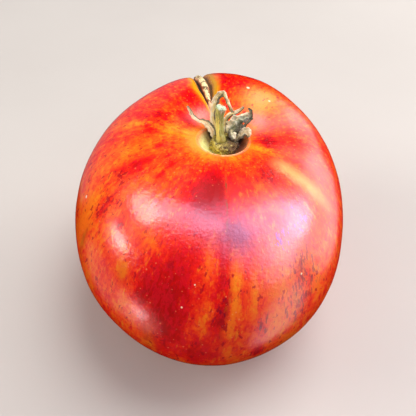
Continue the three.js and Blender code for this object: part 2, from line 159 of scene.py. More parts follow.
class Graph:
    """A node tree that is written down as expressions."""

    def __init__(self, tree: bpy.types.NodeTree) -> None:
        """Keeps the tree that the expressions add their nodes to."""
        self.tree = tree

    def node(self, kind: str, settings: dict[str, Setting] | None = None,
             inputs: dict[Union[str, int], object] | None = None) -> bpy.types.Node:
        """Adds a node.

        Args:
            kind: Type name of the node.
            settings: What the node is set to before its sockets are fed; "stops" are a
                ramp's places and colours.
            inputs: Number, colour, text or link of each named or counted input socket.

        Returns:
            The new node.
        """
        made = self.tree.nodes.new(kind)
        for name, setting in (settings or {}).items():
            if name == "stops":
                self._set_stops(made.color_ramp, setting)
            else:
                setattr(made, name, setting)
        for key, value in (inputs or {}).items():
            self.feed(made.inputs[key], value)
        return made

    def feed(self, socket: bpy.types.NodeSocket, value: object) -> None:
        """Links a socket to a value or an output, or sets it to a constant.

        Args:
            socket: The input socket.
            value: A Value, an output socket or a constant.
        """
        if isinstance(value, Value):
            self.tree.links.new(value.socket, socket)
        elif isinstance(value, bpy.types.NodeSocket):
            self.tree.links.new(value, socket)
        else:
            socket.default_value = value

    @staticmethod
    def _set_stops(ramp: bpy.types.ColorRamp, stops: Sequence[tuple[float, Colour]]) -> None:
        """Sets a ramp's stops.

        Args:
            ramp: The ramp, with its two first stops.
            stops: Place and colour of each stop, in order.
        """
        while len(ramp.elements) < len(stops):
            ramp.elements.new(1.0)
        for element, (place, colour) in zip(ramp.elements, stops):
            element.position = place
            element.color = colour

    def maths(self, operation: str, *values: Number) -> Value:
        """Adds a Math node.

        Args:
            operation: The node's operation.
            values: Its numbers, in order.

        Returns:
            The result.
        """
        made = self.node("ShaderNodeMath", {"operation": operation}, dict(enumerate(values)))
        return Value(self, made.outputs[0])

    def sine(self, angle: Number) -> Value:
        """Gives the sine."""
        return self.maths("SINE", angle)

    def cosine(self, angle: Number) -> Value:
        """Gives the cosine."""
        return self.maths("COSINE", angle)

    def power(self, base: Number, exponent: Number) -> Value:
        """Raises a number that isn't negative to a power."""
        return self.maths("POWER", self.maths("MAXIMUM", base, 0.0), exponent)

    def exceeds(self, value: Number, limit: Number) -> Value:
        """Gives 1 above a limit, and otherwise 0."""
        return self.maths("GREATER_THAN", value, limit)

    def absolute(self, value: Number) -> Value:
        """Drops the sign."""
        return self.maths("ABSOLUTE", value)

    def wrapped(self, angle: Number) -> Value:
        """Brings an angle between minus and plus half a turn."""
        return self.maths("WRAP", angle, math.pi, -math.pi)

    def clamp(self, value: Number, low: float = 0.0, high: float = 1.0) -> Value:
        """Keeps a number between two limits."""
        return self.maths("MINIMUM", self.maths("MAXIMUM", value, low), high)

    def soft(self, start: float, end: float, value: Number) -> Value:
        """Steps from 0 to 1 between two places, soft at both ends."""
        made = self.node("ShaderNodeMapRange", {"interpolation_type": "SMOOTHSTEP"},
                         {"Value": value, "From Min": start, "From Max": end})
        return Value(self, made.outputs[0])

    def bell(self, offset: Number, width: Number) -> Value:
        """Gives a bell of height 1 and the given half width."""
        ratio = offset / width
        return self.maths("EXPONENT", -(ratio * ratio))

    def vector(self, x: Number, y: Number, z: Number) -> bpy.types.NodeSocket:
        """Joins three numbers to a vector."""
        return self.node("ShaderNodeCombineXYZ", None, {0: x, 1: y, 2: z}).outputs[0]

    def parts(self, vector: bpy.types.NodeSocket) -> tuple[Value, Value, Value]:
        """Splits a vector into its three numbers."""
        made = self.node("ShaderNodeSeparateXYZ", None, {0: vector})
        first, second, third = (Value(self, output) for output in made.outputs)
        return first, second, third

    def scaled(self, vector: bpy.types.NodeSocket, factor: Number) -> bpy.types.NodeSocket:
        """Multiplies a vector by a number."""
        made = self.node("ShaderNodeVectorMath", {"operation": "SCALE"},
                         {"Vector": vector, "Scale": factor})
        return made.outputs[0]

    def speckle(self, vector: bpy.types.NodeSocket, scale: float, detail: float = 2.0,
                roughness: float = 0.5, distortion: float = 0.0) -> Value:
        """Adds soft random mottling between 0 and 1.

        Args:
            vector: Where the mottling is read.
            scale: Mottles in one unit of the vector.
            detail: How many finer layers are added.
            roughness: How strong the finer layers are.
            distortion: How far the mottling is bent.

        Returns:
            The mottling.
        """
        made = self.node("ShaderNodeTexNoise", {"noise_dimensions": "3D"}, {
            "Vector": vector, "Scale": scale, "Detail": detail, "Roughness": roughness,
            "Distortion": distortion})
        return Value(self, made.outputs[0])

    def dots(self, vector: bpy.types.NodeSocket, scale: float, largest: float,
             share: Number) -> Value:
        """Scatters round dots of many sizes.

        Args:
            vector: Where the dots lie.
            scale: Places for a dot along one unit of the vector.
            largest: Radius of the largest dot, in shares of the places' spacing.
            share: How many of the places have a dot, from 0 to 1.

        Returns:
            1 in a dot, soft at its edge, and otherwise 0.
        """
        made = self.node("ShaderNodeTexVoronoi", {"feature": "F1"},
                         {"Vector": vector, "Scale": scale})
        chance, size, _ = self.parts(made.outputs["Color"])
        radius = (size * 0.6 + 0.4) * largest
        inside = self.clamp((radius - Value(self, made.outputs["Distance"])) / (largest * 0.35))
        return inside * self.clamp((share - chance) * 12.0)

    def mix(self, share: Number, first: object, second: object,
            blend: str = "MIX") -> bpy.types.NodeSocket:
        """Mixes two colours.

        Args:
            share: How much of the second colour shows.
            first: Colour or link.
            second: Colour or link.
            blend: The node's way of mixing.

        Returns:
            The mixed colour.
        """
        made = self.node("ShaderNodeMix", {"data_type": "RGBA", "blend_type": blend},
                         {0: share, 6: first, 7: second})
        return made.outputs[2]

    def ramp(self, value: Number,
             stops: Sequence[tuple[float, Colour]]) -> bpy.types.NodeSocket:
        """Turns a number into a colour of a ramp."""
        return self.node("ShaderNodeValToRGB", {"stops": stops}, {0: value}).outputs[0]


class Recipe(Graph):
    """A tree of geometry nodes with named inputs, which makes one piece."""

    def __init__(self, name: str) -> None:
        """Starts an empty tree with one geometry input and one output."""
        super().__init__(bpy.data.node_groups.new(name, "GeometryNodeTree"))
        for way in ("INPUT", "OUTPUT"):
            self.tree.interface.new_socket("Geometry", in_out=way,
                                           socket_type="NodeSocketGeometry")
        self.source = self.tree.nodes.new("NodeGroupInput")
        self.sizes: dict[str, Union[int, float]] = {}

    def size(self, name: str, value: float) -> Value:
        """Adds a named input for a size.

        Args:
            name: What the size is called.
            value: The size on this tomato.

        Returns:
            The input's value.
        """
        item = self.tree.interface.new_socket(name, in_out="INPUT", socket_type="NodeSocketFloat")
        self.sizes[item.identifier] = float(value)
        return Value(self, self.source.outputs[name])

    def count(self, name: str, value: int) -> bpy.types.NodeSocket:
        """Adds a named input for a whole number, such as a count or a seed.

        Args:
            name: What is counted.
            value: The number on this tomato.

        Returns:
            The input's socket.
        """
        item = self.tree.interface.new_socket(name, in_out="INPUT", socket_type="NodeSocketInt")
        self.sizes[item.identifier] = int(value)
        return self.source.outputs[name]

    def store(self, geometry: bpy.types.NodeSocket, name: str,
              vector: bpy.types.NodeSocket) -> bpy.types.NodeSocket:
        """Stores a vector on the points of a geometry.

        Args:
            geometry: The geometry.
            name: Name of the attribute.
            vector: The vector.

        Returns:
            The geometry with the attribute.
        """
        made = self.node("GeometryNodeStoreNamedAttribute", {"data_type": "FLOAT_VECTOR"},
                         {"Geometry": geometry, "Name": name, "Value": vector})
        return made.outputs[0]

    def stored(self, name: str) -> tuple[Value, Value, Value]:
        """Gives back the three numbers of a stored vector."""
        made = self.node("GeometryNodeInputNamedAttribute", {"data_type": "FLOAT_VECTOR"},
                         {"Name": name})
        return self.parts(made.outputs[0])

    def moved(self, geometry: bpy.types.NodeSocket,
              relief: Value) -> bpy.types.NodeSocket:
        """Moves the points along their normals.

        Args:
            geometry: The geometry.
            relief: How far, in millimetres.

        Returns:
            The moved geometry.
        """
        normal = self.node("GeometryNodeInputNormal").outputs[0]
        made = self.node("GeometryNodeSetPosition", None,
                         {"Geometry": geometry, "Offset": self.scaled(normal, relief * MM)})
        return made.outputs[0]

    def close(self, geometry: bpy.types.NodeSocket, material: bpy.types.Material) -> None:
        """Ends the tree: real geometry with its material.

        Args:
            geometry: The finished geometry.
            material: Material of all of it.
        """
        smooth = self.node("GeometryNodeSetShadeSmooth", None, {"Geometry": geometry}).outputs[0]
        real = self.node("GeometryNodeRealizeInstances", None, {"Geometry": smooth}).outputs[0]
        dressed = self.node("GeometryNodeSetMaterial", None,
                            {"Geometry": real, "Material": material}).outputs[0]
        self.node("NodeGroupOutput", None, {0: dressed})

    def make(self, name: str, start: bpy.types.ID) -> bpy.types.Object:
        """Runs the tree once and keeps the result as a plain mesh.

        Args:
            name: Name of the piece.
            start: Mesh or curve data that the tree starts from.

        Returns:
            The piece, at the origin, with its place in its mesh.
        """
        holder = bpy.data.objects.new(f"{name}_recipe", start)
        bpy.context.scene.collection.objects.link(holder)
        modifier = holder.modifiers.new(name, "NODES")
        modifier.node_group = self.tree
        for identifier, value in self.sizes.items():
            modifier[identifier] = value
        graph = bpy.context.evaluated_depsgraph_get()
        mesh = bpy.data.meshes.new_from_object(
            holder.evaluated_get(graph), preserve_all_data_layers=True, depsgraph=graph)
        holder.modifiers.remove(modifier)
        bpy.data.objects.remove(holder)
        return place_piece(name, mesh)


class Shader(Graph):
    """The nodes of one material."""

    def __init__(self, name: str) -> None:
        """Starts a material with only its surface shader."""
        self.material = bpy.data.materials.new(name)
        self.material.use_nodes = True
        super().__init__(self.material.node_tree)
        self.surface = self.tree.nodes["Principled BSDF"]

    def place(self) -> bpy.types.NodeSocket:
        """Gives the place on the piece, in metres."""
        return self.node("ShaderNodeTexCoord").outputs["Object"]

    def attribute(self, name: str) -> bpy.types.NodeSocket:
        """Gives the vector that the mesh carries under a name."""
        return self.node("ShaderNodeAttribute", {"attribute_name": name}).outputs["Vector"]

    def cover(self, colour: bpy.types.NodeSocket, roughness: Number, relief: Value,
              relief_height: float, fixed: dict[str, object]) -> bpy.types.Material:
        """Feeds the surface shader.

        Args:
            colour: Base colour.
            roughness: Roughness.
            relief: Height of the fine relief, from 0 to 1.
            relief_height: Height of that relief in millimetres.
            fixed: What is the same all over, by name of the shader's socket.

        Returns:
            The finished material.
        """
        for name, value in fixed.items():
            self.surface.inputs[name].default_value = value
        bump = self.node("ShaderNodeBump", None,
                         {"Strength": 1.0, "Distance": relief_height * MM, "Height": relief})
        self.feed(self.surface.inputs["Base Color"], colour)
        self.feed(self.surface.inputs["Roughness"], roughness)
        self.feed(self.surface.inputs["Normal"], bump.outputs[0])
        return self.material


def place_piece(name: str, mesh: bpy.types.Mesh) -> bpy.types.Object:
    """Adds a finished mesh to the scene.

    Args:
        name: Name of the piece.
        mesh: Its mesh, in metres in the part's frame.

    Returns:
        The piece.
    """
    piece = bpy.data.objects.new(name, mesh)
    mesh.name = name
    bpy.context.scene.collection.objects.link(piece)
    return piece


def adopt(piece: bpy.types.Object, slot: str, *nodes: str) -> None:
    """Says what a piece rides on and stands for.

    Args:
        piece: The finished piece.
        slot: The record's material slot; not used.
        nodes: The part's nodes that it replaces.
    """
    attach(piece, "root")
    if nodes:
        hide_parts(*nodes)
    piece.data.update()
    LOG.info("%s: %d faces", piece.name, len(piece.data.polygons))


def smooth_route(points: Sequence[Sequence[float]], share: float) -> Vector:
    """Gives a place on the smooth curve through some points, with centripetal spacing.

    Args:
        points: The points, in order.
        share: How far along, from 0 to 1, with every span counted alike.

    Returns:
        The place.
    """
    knots = [Vector(point) for point in points]
    last = len(knots) - 1
    at = min(max(share, 0.0), 1.0) * last
    span = min(int(at), last - 1)
    rest = at - span
    here, there = knots[span], knots[span + 1]
    before = knots[span - 1] if span > 0 else here * 2 - there
    after = knots[span + 2] if span + 2 <= last else there * 2 - here
    gaps = [math.sqrt((b - a).length) for a, b in ((before, here), (here, there), (there, after))]
    leave = (here - before) / gaps[0] - (there - before) / (gaps[0] + gaps[1])
    leave = (leave + (there - here) / gaps[1]) * gaps[1]
    reach = (there - here) / gaps[1] - (after - here) / (gaps[1] + gaps[2])
    reach = (reach + (after - there) / gaps[2]) * gaps[1]
    square, cube = rest * rest, rest ** 3
    return (here * (2 * cube - 3 * square + 1) + there * (3 * square - 2 * cube)
            + leave * (cube - 2 * square + rest) + reach * (cube - square))


def between(values: Sequence[float], share: float) -> float:
    """Reads a list of numbers that are spread evenly over 0 to 1.

    Args:
        values: The numbers.
        share: Where to read, from 0 to 1.

    Returns:
        The number there.
    """
    return float(np.interp(share * (len(values) - 1), range(len(values)), values))


@dataclass(frozen=True)
class Lobe:
    """A wave round the fruit: how many, how high as a share of the radius, and its direction."""

    count: int
    height: float
    degrees: float


@dataclass(frozen=True)
class FruitForm:
    """The form of the fruit's skin, as the part's source gives it."""

    radius: float = 44
    depth_scale: float = 1.168
    height_above: float = 37
    height_below: float = 36
    power_above: float = 0.86
    power_below: float = 0.93
    crown_shift: tuple[float, float] = (3.5, 3.1)
    base_shift: tuple[float, float] = (-0.5, 5.0)
    lobes: tuple[Lobe, ...] = (Lobe(2, 0.013, -78), Lobe(3, 0.015, -51), Lobe(4, 0.006, -16),
                               Lobe(5, 0.002, 15), Lobe(7, 0.003, 10))
    dip_depth: float = 7
    dip_width: float = 19
    pit_depth: float = 3.4
    pit_floor: float = 2.6
    pit_lip: float = 6.75
    pit_oval: float = 0.10
    pit_oval_end: float = 22
    lean_degrees: float = 6.2
    roll_degrees: float = 2.4
    pressed_in: float = 1.7
    spot_edge: float = 1.0
    plan_centre: tuple[float, float] = (-0.2, 1.1)

    def polar_at(self, radius: float) -> float:
        """Gives the angle down from the crown at which the plain profile has a radius."""
        return math.asin((radius / self.radius) ** (1 / self.power_above))

    def reach(self, maths: Union[Graph, PlainMaths], polar: Number) -> tuple[Number, Number]:
        """Gives the plain radius at an angle down from the crown.

        Args:
            maths: What calculates.
            polar: Angle down from the crown.

        Returns:
            The radius, and 1 above the widest level, otherwise 0.
        """
        above = maths.exceeds(maths.cosine(polar), 0.0)
        power = self.power_below + above * (self.power_above - self.power_below)
        return self.radius * maths.power(maths.sine(polar), power), above

    def grown(self, maths: Union[Graph, PlainMaths], azimuth: Number,
              polar: Number) -> tuple[Number, Number, Number]:
        """Gives a point of the plain skin in the fruit's own axes.

        Args:
            maths: What calculates.
            azimuth: Angle round the fruit.
            polar: Angle down from the crown.

        Returns:
            The point's three numbers.
        """
        rise = maths.cosine(polar)
        radius, above = self.reach(maths, polar)
        height = self.height_below + above * (self.height_above - self.height_below)
        bowl = maths.clamp((radius - self.pit_floor) / (self.pit_lip - self.pit_floor))
        dip = self.dip_depth * maths.bell(radius, self.dip_width) * maths.soft(0.0, 0.4, rise)
        z = height * rise - above * (dip + self.pit_depth * (1 - bowl * bowl))
        waves = 0.0
        for lobe in self.lobes:
            turn = azimuth * lobe.count - math.radians(lobe.degrees) * lobe.count
            waves = waves + maths.cosine(turn) * lobe.height
        share = radius / self.radius
        spread = radius * (1 + waves * maths.soft(0.1, 0.8, share))
        depth = 1 + (self.depth_scale - 1) * maths.soft(0.1, 0.9, share)
        oval = above * self.pit_oval * (1 - maths.soft(self.pit_lip, self.pit_oval_end, radius))
        crown = maths.soft(-0.2, 1.0, rise)
        base = maths.soft(-0.2, 1.0, -rise)
        x = spread * maths.cosine(azimuth) * (1 + oval)
        y = spread * maths.sine(azimuth) * depth * (1 - oval)
        return (x + self.crown_shift[0] * crown + self.base_shift[0] * base,
                y + self.crown_shift[1] * crown + self.base_shift[1] * base, z)

    def lean(self) -> Matrix:
        """Gives the turn from the fruit's own axes to the standing fruit."""
        return (Matrix.Rotation(math.radians(self.roll_degrees), 3, "Y")
                @ Matrix.Rotation(math.radians(self.lean_degrees), 3, "X"))

    def rest_level(self) -> float:
        """Gives the height at which the leaning fruit is pressed flat."""
        plain = PlainMaths()
        steps = 90
        lean = self.lean()
        lowest = 0.0
        for turn in range(steps):
            for step in range(steps + 1):
                point = self.grown(plain, FULL_TURN * turn / steps,
                                   math.pi * (1 - step / steps / 4))
                lowest = min(lowest, (lean @ Vector(point)).z)
        return lowest + self.pressed_in

    def crown_frame(self) -> Matrix:
        """Gives the place and the turn of the middle of the pit's floor, in millimetres."""
        lean = self.lean()
        middle = lean @ Vector(self.grown(PlainMaths(), 0.0, 0.0))
        middle -= Vector((*self.plan_centre, self.rest_level()))
        return Matrix.Translation(middle) @ lean.to_4x4()

    def pit_height(self, x: float, y: float) -> float:
        """Gives the height of the pit's skin over the middle of its floor.

        Args:
            x: Place across the pit, in the fruit's own axes.
            y: Place along the pit.

        Returns:
            The height.
        """
        plain = PlainMaths()
        wide = x / (1 + self.pit_oval)
        deep = y / (1 - self.pit_oval)
        point = self.grown(plain, math.atan2(deep, wide), self.polar_at(math.hypot(wide, deep)))
        return point[2] - self.grown(plain, 0.0, 0.0)[2]


@dataclass(frozen=True)
class Crack:
    """The healed crack: a ridge of cork between two grooves over the back shoulder."""

    degrees: float = 105
    drift_degrees: float = -3
    start: float = 8
    full: float = 24
    fade_from: float = 72
    fade_to: float = 98
    groove_depth: float = 1.3
    groove_offset: float = 1.75
    groove_width: float = 0.75
    ridge_rise: float = 0.3
    ridge_width: float = 0.8
    valley_depth: float = 0.7
    valley_width: float = 3.6
    narrowest: float = 0.22
    knob_rise: float = 0.8
    flank: float = 12

    def place(self, graph: Graph, form: FruitForm, azimuth: Value,
              polar: Value) -> tuple[Value, Value]:
        """Finds where a point lies on the crack.

        Args:
            graph: What calculates.
            form: The fruit's form.
            azimuth: Angle round the fruit.
            polar: Angle down from the crown.

        Returns:
            Distance across the crack in millimetres, and its strength there.
        """
        radius, above = form.reach(graph, polar)
        begun = 1 - above * (1 - graph.soft(self.start, self.full, radius))
        ended = graph.soft(math.radians(self.fade_from), math.radians(self.fade_to), polar)
        drift = (form.radius + above * (radius - form.radius)) / form.radius
        middle = drift * math.radians(self.drift_degrees) + math.radians(self.degrees)
        return graph.wrapped(azimuth - middle) * radius, begun * (1 - ended)


class Fruit:
    """The fruit: its skin in Geometry Nodes, with the attributes that its finish reads."""

    name = "tomato_fruit"
    pit_rings: int = 44
    body_rings: int = 198
    meridians: int = 408
    ring_crowding: float = 0.42
    crowding_share: float = 0.26
    crowding_width: float = 0.35
    merge_distance: float = 0.0000006

    def __init__(self, form: FruitForm, crack: Crack) -> None:
        """Keeps the forms of the skin and of the crack."""
        self.form = form
        self.crack = crack

    def _angles(self, recipe: Recipe, across: Value, up: Value) -> tuple[Value, Value]:
        """Turns the two shares of a flat grid into angles on the fruit.

        Args:
            recipe: The tree.
            across: Share of the way round, from 0 to 1.
            up: Share of the way from the blossom end to the crown.

        Returns:
            Angle round the fruit, and angle down from the crown.
        """
        crowding = recipe.size("Crowding at the crack", self.crowding_share)
        width = self.crowding_width
        even = (across - 0.5) * FULL_TURN
        bent = even - crowding * recipe.maths("ARCTANGENT", even / width)
        reach = math.pi - crowding * math.atan(math.pi / width)
        azimuth = math.radians(self.crack.degrees) + bent * math.pi / reach

        lip = self.form.polar_at(self.form.pit_lip)
        pit_share = self.pit_rings / (self.pit_rings + self.body_rings)
        down = 1 - up
        inner = recipe.clamp(down / pit_share)
        outer = recipe.clamp((down - pit_share) / (1 - pit_share))
        radius = inner * (self.form.pit_lip / self.form.radius)
        inner_polar = recipe.maths(
            "ARCSINE", recipe.power(radius, 1 / self.form.power_above))
        eased = outer - recipe.sine(outer * FULL_TURN) * (self.ring_crowding / FULL_TURN)
        return azimuth, inner_polar + eased * (math.pi - lip)

    def _stand(self, recipe: Recipe, point: tuple[Value, Value, Value]) -> bpy.types.NodeSocket:
        """Leans a point, sets it on the floor and presses the flat spot.

        Args:
            recipe: The tree.
            point: The point in the fruit's own axes.

        Returns:
            The point in metres in the part's frame.
        """
        rows = self.form.lean()
        x, y, z = (row[0] * point[0] + row[1] * point[1] + row[2] * point[2] for row in rows)
        level = recipe.size("Rest level", self.form.rest_level())
        edge = recipe.size("Edge of the flat spot", self.form.spot_edge)
        height = z - level
        low = recipe.maths("MINIMUM", recipe.maths("MAXIMUM", height + edge, 0.0), edge * 2)
        pressed = low * low / (edge * 4) + recipe.maths("MAXIMUM", height - edge, 0.0)
        centre = self.form.plan_centre
        return recipe.vector((x - centre[0]) * MM, (y - centre[1]) * MM, pressed * MM)

    def _relief(self, recipe: Recipe) -> Value:
        """Gives the fine form of the skin over the plain one, in millimetres.

        Args:
            recipe: The tree.

        Returns:
            The height along the skin's normal.
        """
        form, crack = self.form, self.crack
        cos_azimuth, sin_azimuth, polar = recipe.stored("way")
        side, offset, strength = recipe.stored("crack")
        place = recipe.node("GeometryNodeInputPosition").outputs[0]
        level = recipe.parts(place)[2] / MM
        radius, above = form.reach(recipe, polar)

        narrow = crack.narrowest + (1 - crack.narrowest) * strength * strength
        groove = recipe.bell(side - crack.groove_offset * narrow, crack.groove_width * narrow)
        ridge = recipe.bell(side, crack.ridge_width * narrow)
        valley = recipe.bell(side, crack.valley_width * narrow)
        knobs = recipe.speckle(place, 640.0, 2.0, 0.6) - 0.42
        ragged = recipe.speckle(place, 900.0, 2.0, 0.6)
        healed = strength * (crack.ridge_rise * ridge
                             - crack.groove_depth * groove * (0.65 + 0.7 * ragged)
                             - crack.valley_depth * valley
                             + recipe.size("Cork knobs", crack.knob_rise) * 2 * ridge * knobs)

        azimuth = recipe.maths("ARCTAN2", sin_azimuth, cos_azimuth)
        lip = above * recipe.bell(radius - (form.pit_lip + 0.12), 0.3)
        wall = above * (1 - recipe.soft(form.pit_lip - 0.6, form.pit_lip, radius))
        cork = recipe.speckle(place, 1300.0, 2.0, 0.6)
        creases = recipe.sine(azimuth * 31 + cork * 5) * 0.5 + recipe.sine(azimuth * 17) * 0.5
        outward = recipe.vector(cos_azimuth * 9, sin_azimuth * 9, polar * 1.4)
        folds = recipe.speckle(outward, 1.0, 2.0, 0.5) - 0.5
        shoulder = above * recipe.soft(form.pit_lip, 12.0, radius) \
            * (1 - recipe.soft(24.0, 40.0, radius))
        lifted = recipe.soft(0.6, 5.0, level)
        broad = recipe.speckle(place, 62.0, 1.5, 0.45) - 0.5
        close = recipe.speckle(place, 170.0, 2.0, 0.5) - 0.5
        seam = recipe.bell(recipe.wrapped(azimuth + math.radians(88.5)) * radius, 0.5) \
            * recipe.soft(10.0, 14.0, radius) * above
        scar = recipe.bell(math.pi - polar, 0.055)
        return (healed
                + recipe.size("Corky lip", 0.16) * lip * (0.4 + 1.2 * cork)
                + recipe.size("Pit creases", 0.11) * wall * creases
                + recipe.size("Shoulder folds", 0.16) * shoulder * folds
                + recipe.size("Broad unevenness", 0.5) * lifted * broad * (1 - lip)
                + recipe.size("Close unevenness", 0.07) * lifted * close * (1 - wall)
                - recipe.size("Suture", 0.035) * seam
                - recipe.size("Blossom scar", 0.35) * scar)

    def _recipe(self, material: bpy.types.Material) -> Recipe:
        """Writes the tree that makes the fruit.

        Args:
            material: Finish of the skin.

        Returns:
            The tree.
        """
        recipe = Recipe("fruit_skin")
        grid = recipe.node("GeometryNodeMeshGrid", None, {
            "Size X": 1.0, "Size Y": 1.0,
            "Vertices X": recipe.count("Meridians", self.meridians + 1),
            "Vertices Y": recipe.count("Rings", self.pit_rings + self.body_rings + 1)})
        flat = recipe.parts(recipe.node("GeometryNodeInputPosition").outputs[0])
        azimuth, polar = self._angles(recipe, flat[0] + 0.5, flat[1] + 0.5)
        way = recipe.vector(recipe.cosine(azimuth), recipe.sine(azimuth), polar)
        across, strength = self.crack.place(recipe, self.form, azimuth, polar)
        flank = self.crack.flank
        along = recipe.vector(recipe.absolute(across),
                              recipe.clamp(across, -flank, flank), strength)
        geometry = recipe.store(grid.outputs[0], "crack", along)
        geometry = recipe.store(geometry, "way", way)
        cos_azimuth, sin_azimuth, down = recipe.stored("way")
        turn = recipe.maths("ARCTAN2", sin_azimuth, cos_azimuth)
        skin = self._stand(recipe, self.form.grown(recipe, turn, down))
        geometry = recipe.node("GeometryNodeSetPosition", None,
                               {"Geometry": geometry, "Position": skin}).outputs[0]
        geometry = recipe.node("GeometryNodeMergeByDistance", None, {
            "Geometry": geometry, "Distance": self.merge_distance}).outputs[0]
        geometry = recipe.moved(geometry, self._relief(recipe))
        recipe.close(geometry, material)
        return recipe

    def build(self, material: bpy.types.Material) -> bpy.types.Object:
        """Makes the fruit.

        Args:
            material: Finish of the skin.

        Returns:
            The piece.
        """
        recipe = self._recipe(material)
        piece = recipe.make(self.name, bpy.data.meshes.new("fruit_start"))
        adopt(piece, "tomato_skin", "fruit")
        return piece


@dataclass(frozen=True)
class Patch:
    """A patch of the skin: where it lies, how far it reaches in degrees, and how much it adds."""

    azimuth: float
    polar: float
    wide: float
    tall: float
    amount: float


def lay(*rows: Sequence[float]) -> tuple[Patch, ...]:
    """Makes patches from rows of their five numbers."""
    return tuple(Patch(*row) for row in rows)


class SkinPlace:
    """Where a point of the skin lies, with the patterns that several of its colours share."""

    def __init__(self, shader: Shader, form: FruitForm) -> None:
        """Reads what the mesh carries and makes the shared patterns.

        Args:
            shader: The skin's nodes.
            form: The fruit's form.
        """
        self.shader = shader
        self.pit_lip = form.pit_lip
        self.place = shader.place()
        self.cosine, self.sine, self.polar = shader.parts(shader.attribute("way"))
        self.side, self.offset, self.strength = shader.parts(shader.attribute("crack"))
        self.azimuth = shader.maths("ARCTAN2", self.sine, self.cosine)
        self.radius, self.above = form.reach(shader, self.polar)
        self.spread = shader.power(self.radius, 0.5)

        bend = shader.speckle(self.place, 75.0, 2.0, 0.5) - 0.5
        bend_down = shader.speckle(self.place, 60.0, 1.0, 0.5) - 0.5
        self.broad = self._streaks(1.0, 3.4, 1.1, 0.0, 2.0, 0.5, 0.3)
        self.middle = self._streaks(1.0, 10.0, 3.2, 7.3, 3.0, 0.6, 0.4)
        self.fine = self.even_streaks(3.6, 11.0, 3.1, 3.0, 0.65, 0.5)
        self.dashes = self.even_streaks(6.0, 13.0, 11.7, 2.0, 0.6, 0.3)
        self.mottle = shader.speckle(self.place, 620.0, 3.0, 0.7)
        self.bent_azimuth = self.azimuth + bend * 0.10 + (self.fine - 0.5) * 0.06
        self.bent_polar = self.polar + bend_down * 0.14 + (self.dashes - 0.5) * 0.08

    def _streaks(self, spread: Number, around: float, down: float, start: float, detail: float,
                 roughness: float, distortion: float) -> Value:
        """Gives streaks that run with the meridians.

        Args:
            spread: How far the pattern is spread round the fruit.
            around: Streaks round the fruit.
            down: Streaks from the crown to the blossom end.
            start: Which part of the pattern is read.
            detail: How many finer layers are added.
            roughness: How strong the finer layers are.
            distortion: How far the streaks are bent.

        Returns:
            The streaks, between 0 and 1.
        """
        way = self.shader.vector(self.cosine * spread * around, self.sine * spread * around,
                                 self.polar * down + start)
        return self.shader.speckle(way, 1.0, detail, roughness, distortion)

    def even_streaks(self, around: float, down: float, start: float, detail: float,
                     roughness: float, distortion: float = 0.0) -> Value:
        """Gives streaks that stay about equally wide from the pit to the widest level.

        Args:
            around: Streaks round the fruit.
            down: Streaks from the crown to the blossom end.
            start: Which part of the pattern is read.
            detail: How many finer layers are added.
            roughness: How strong the finer layers are.
            distortion: How far the streaks are bent.

        Returns:
            The streaks, between 0 and 1.
        """
        return self._streaks(self.spread, around, down, start, detail, roughness, distortion)

    def patches(self, patches: Sequence[Patch], bent: bool = True) -> Value:
        """Adds up soft oval patches.

        Args:
            patches: The patches.
            bent: Whether their edges wander with the streaks.

        Returns:
            The sum of the patches here.
        """
        shader = self.shader
        azimuth = self.bent_azimuth if bent else self.azimuth
        polar = self.bent_polar if bent else self.polar
        masks = []
        for patch in patches:
            across = shader.wrapped(azimuth - math.radians(patch.azimuth)) \
                / math.radians(patch.wide)
            down = (polar - math.radians(patch.polar)) / math.radians(patch.tall)
            masks.append(shader.maths("EXPONENT", -(across * across + down * down)) * patch.amount)
        return sum(masks[1:], masks[0])

    def spots(self, pattern: Value, start: float, end: float, patches: Sequence[Patch],
              gain: float) -> Value:
        """Gives spots that lie only in some patches.

        Args:
            pattern: The pattern that they come from.
            start: Where a spot starts to show.
            end: Where it is full.
            patches: Where the spots lie.
            gain: How much a patch of amount 1 helps them.

        Returns:
            1 in a spot, soft at its edge, and otherwise 0.
        """
        near = self.patches(patches)
        return self.shader.soft(start, end, pattern + near * gain - 0.04) \
            * self.shader.soft(0.15, 0.5, near)


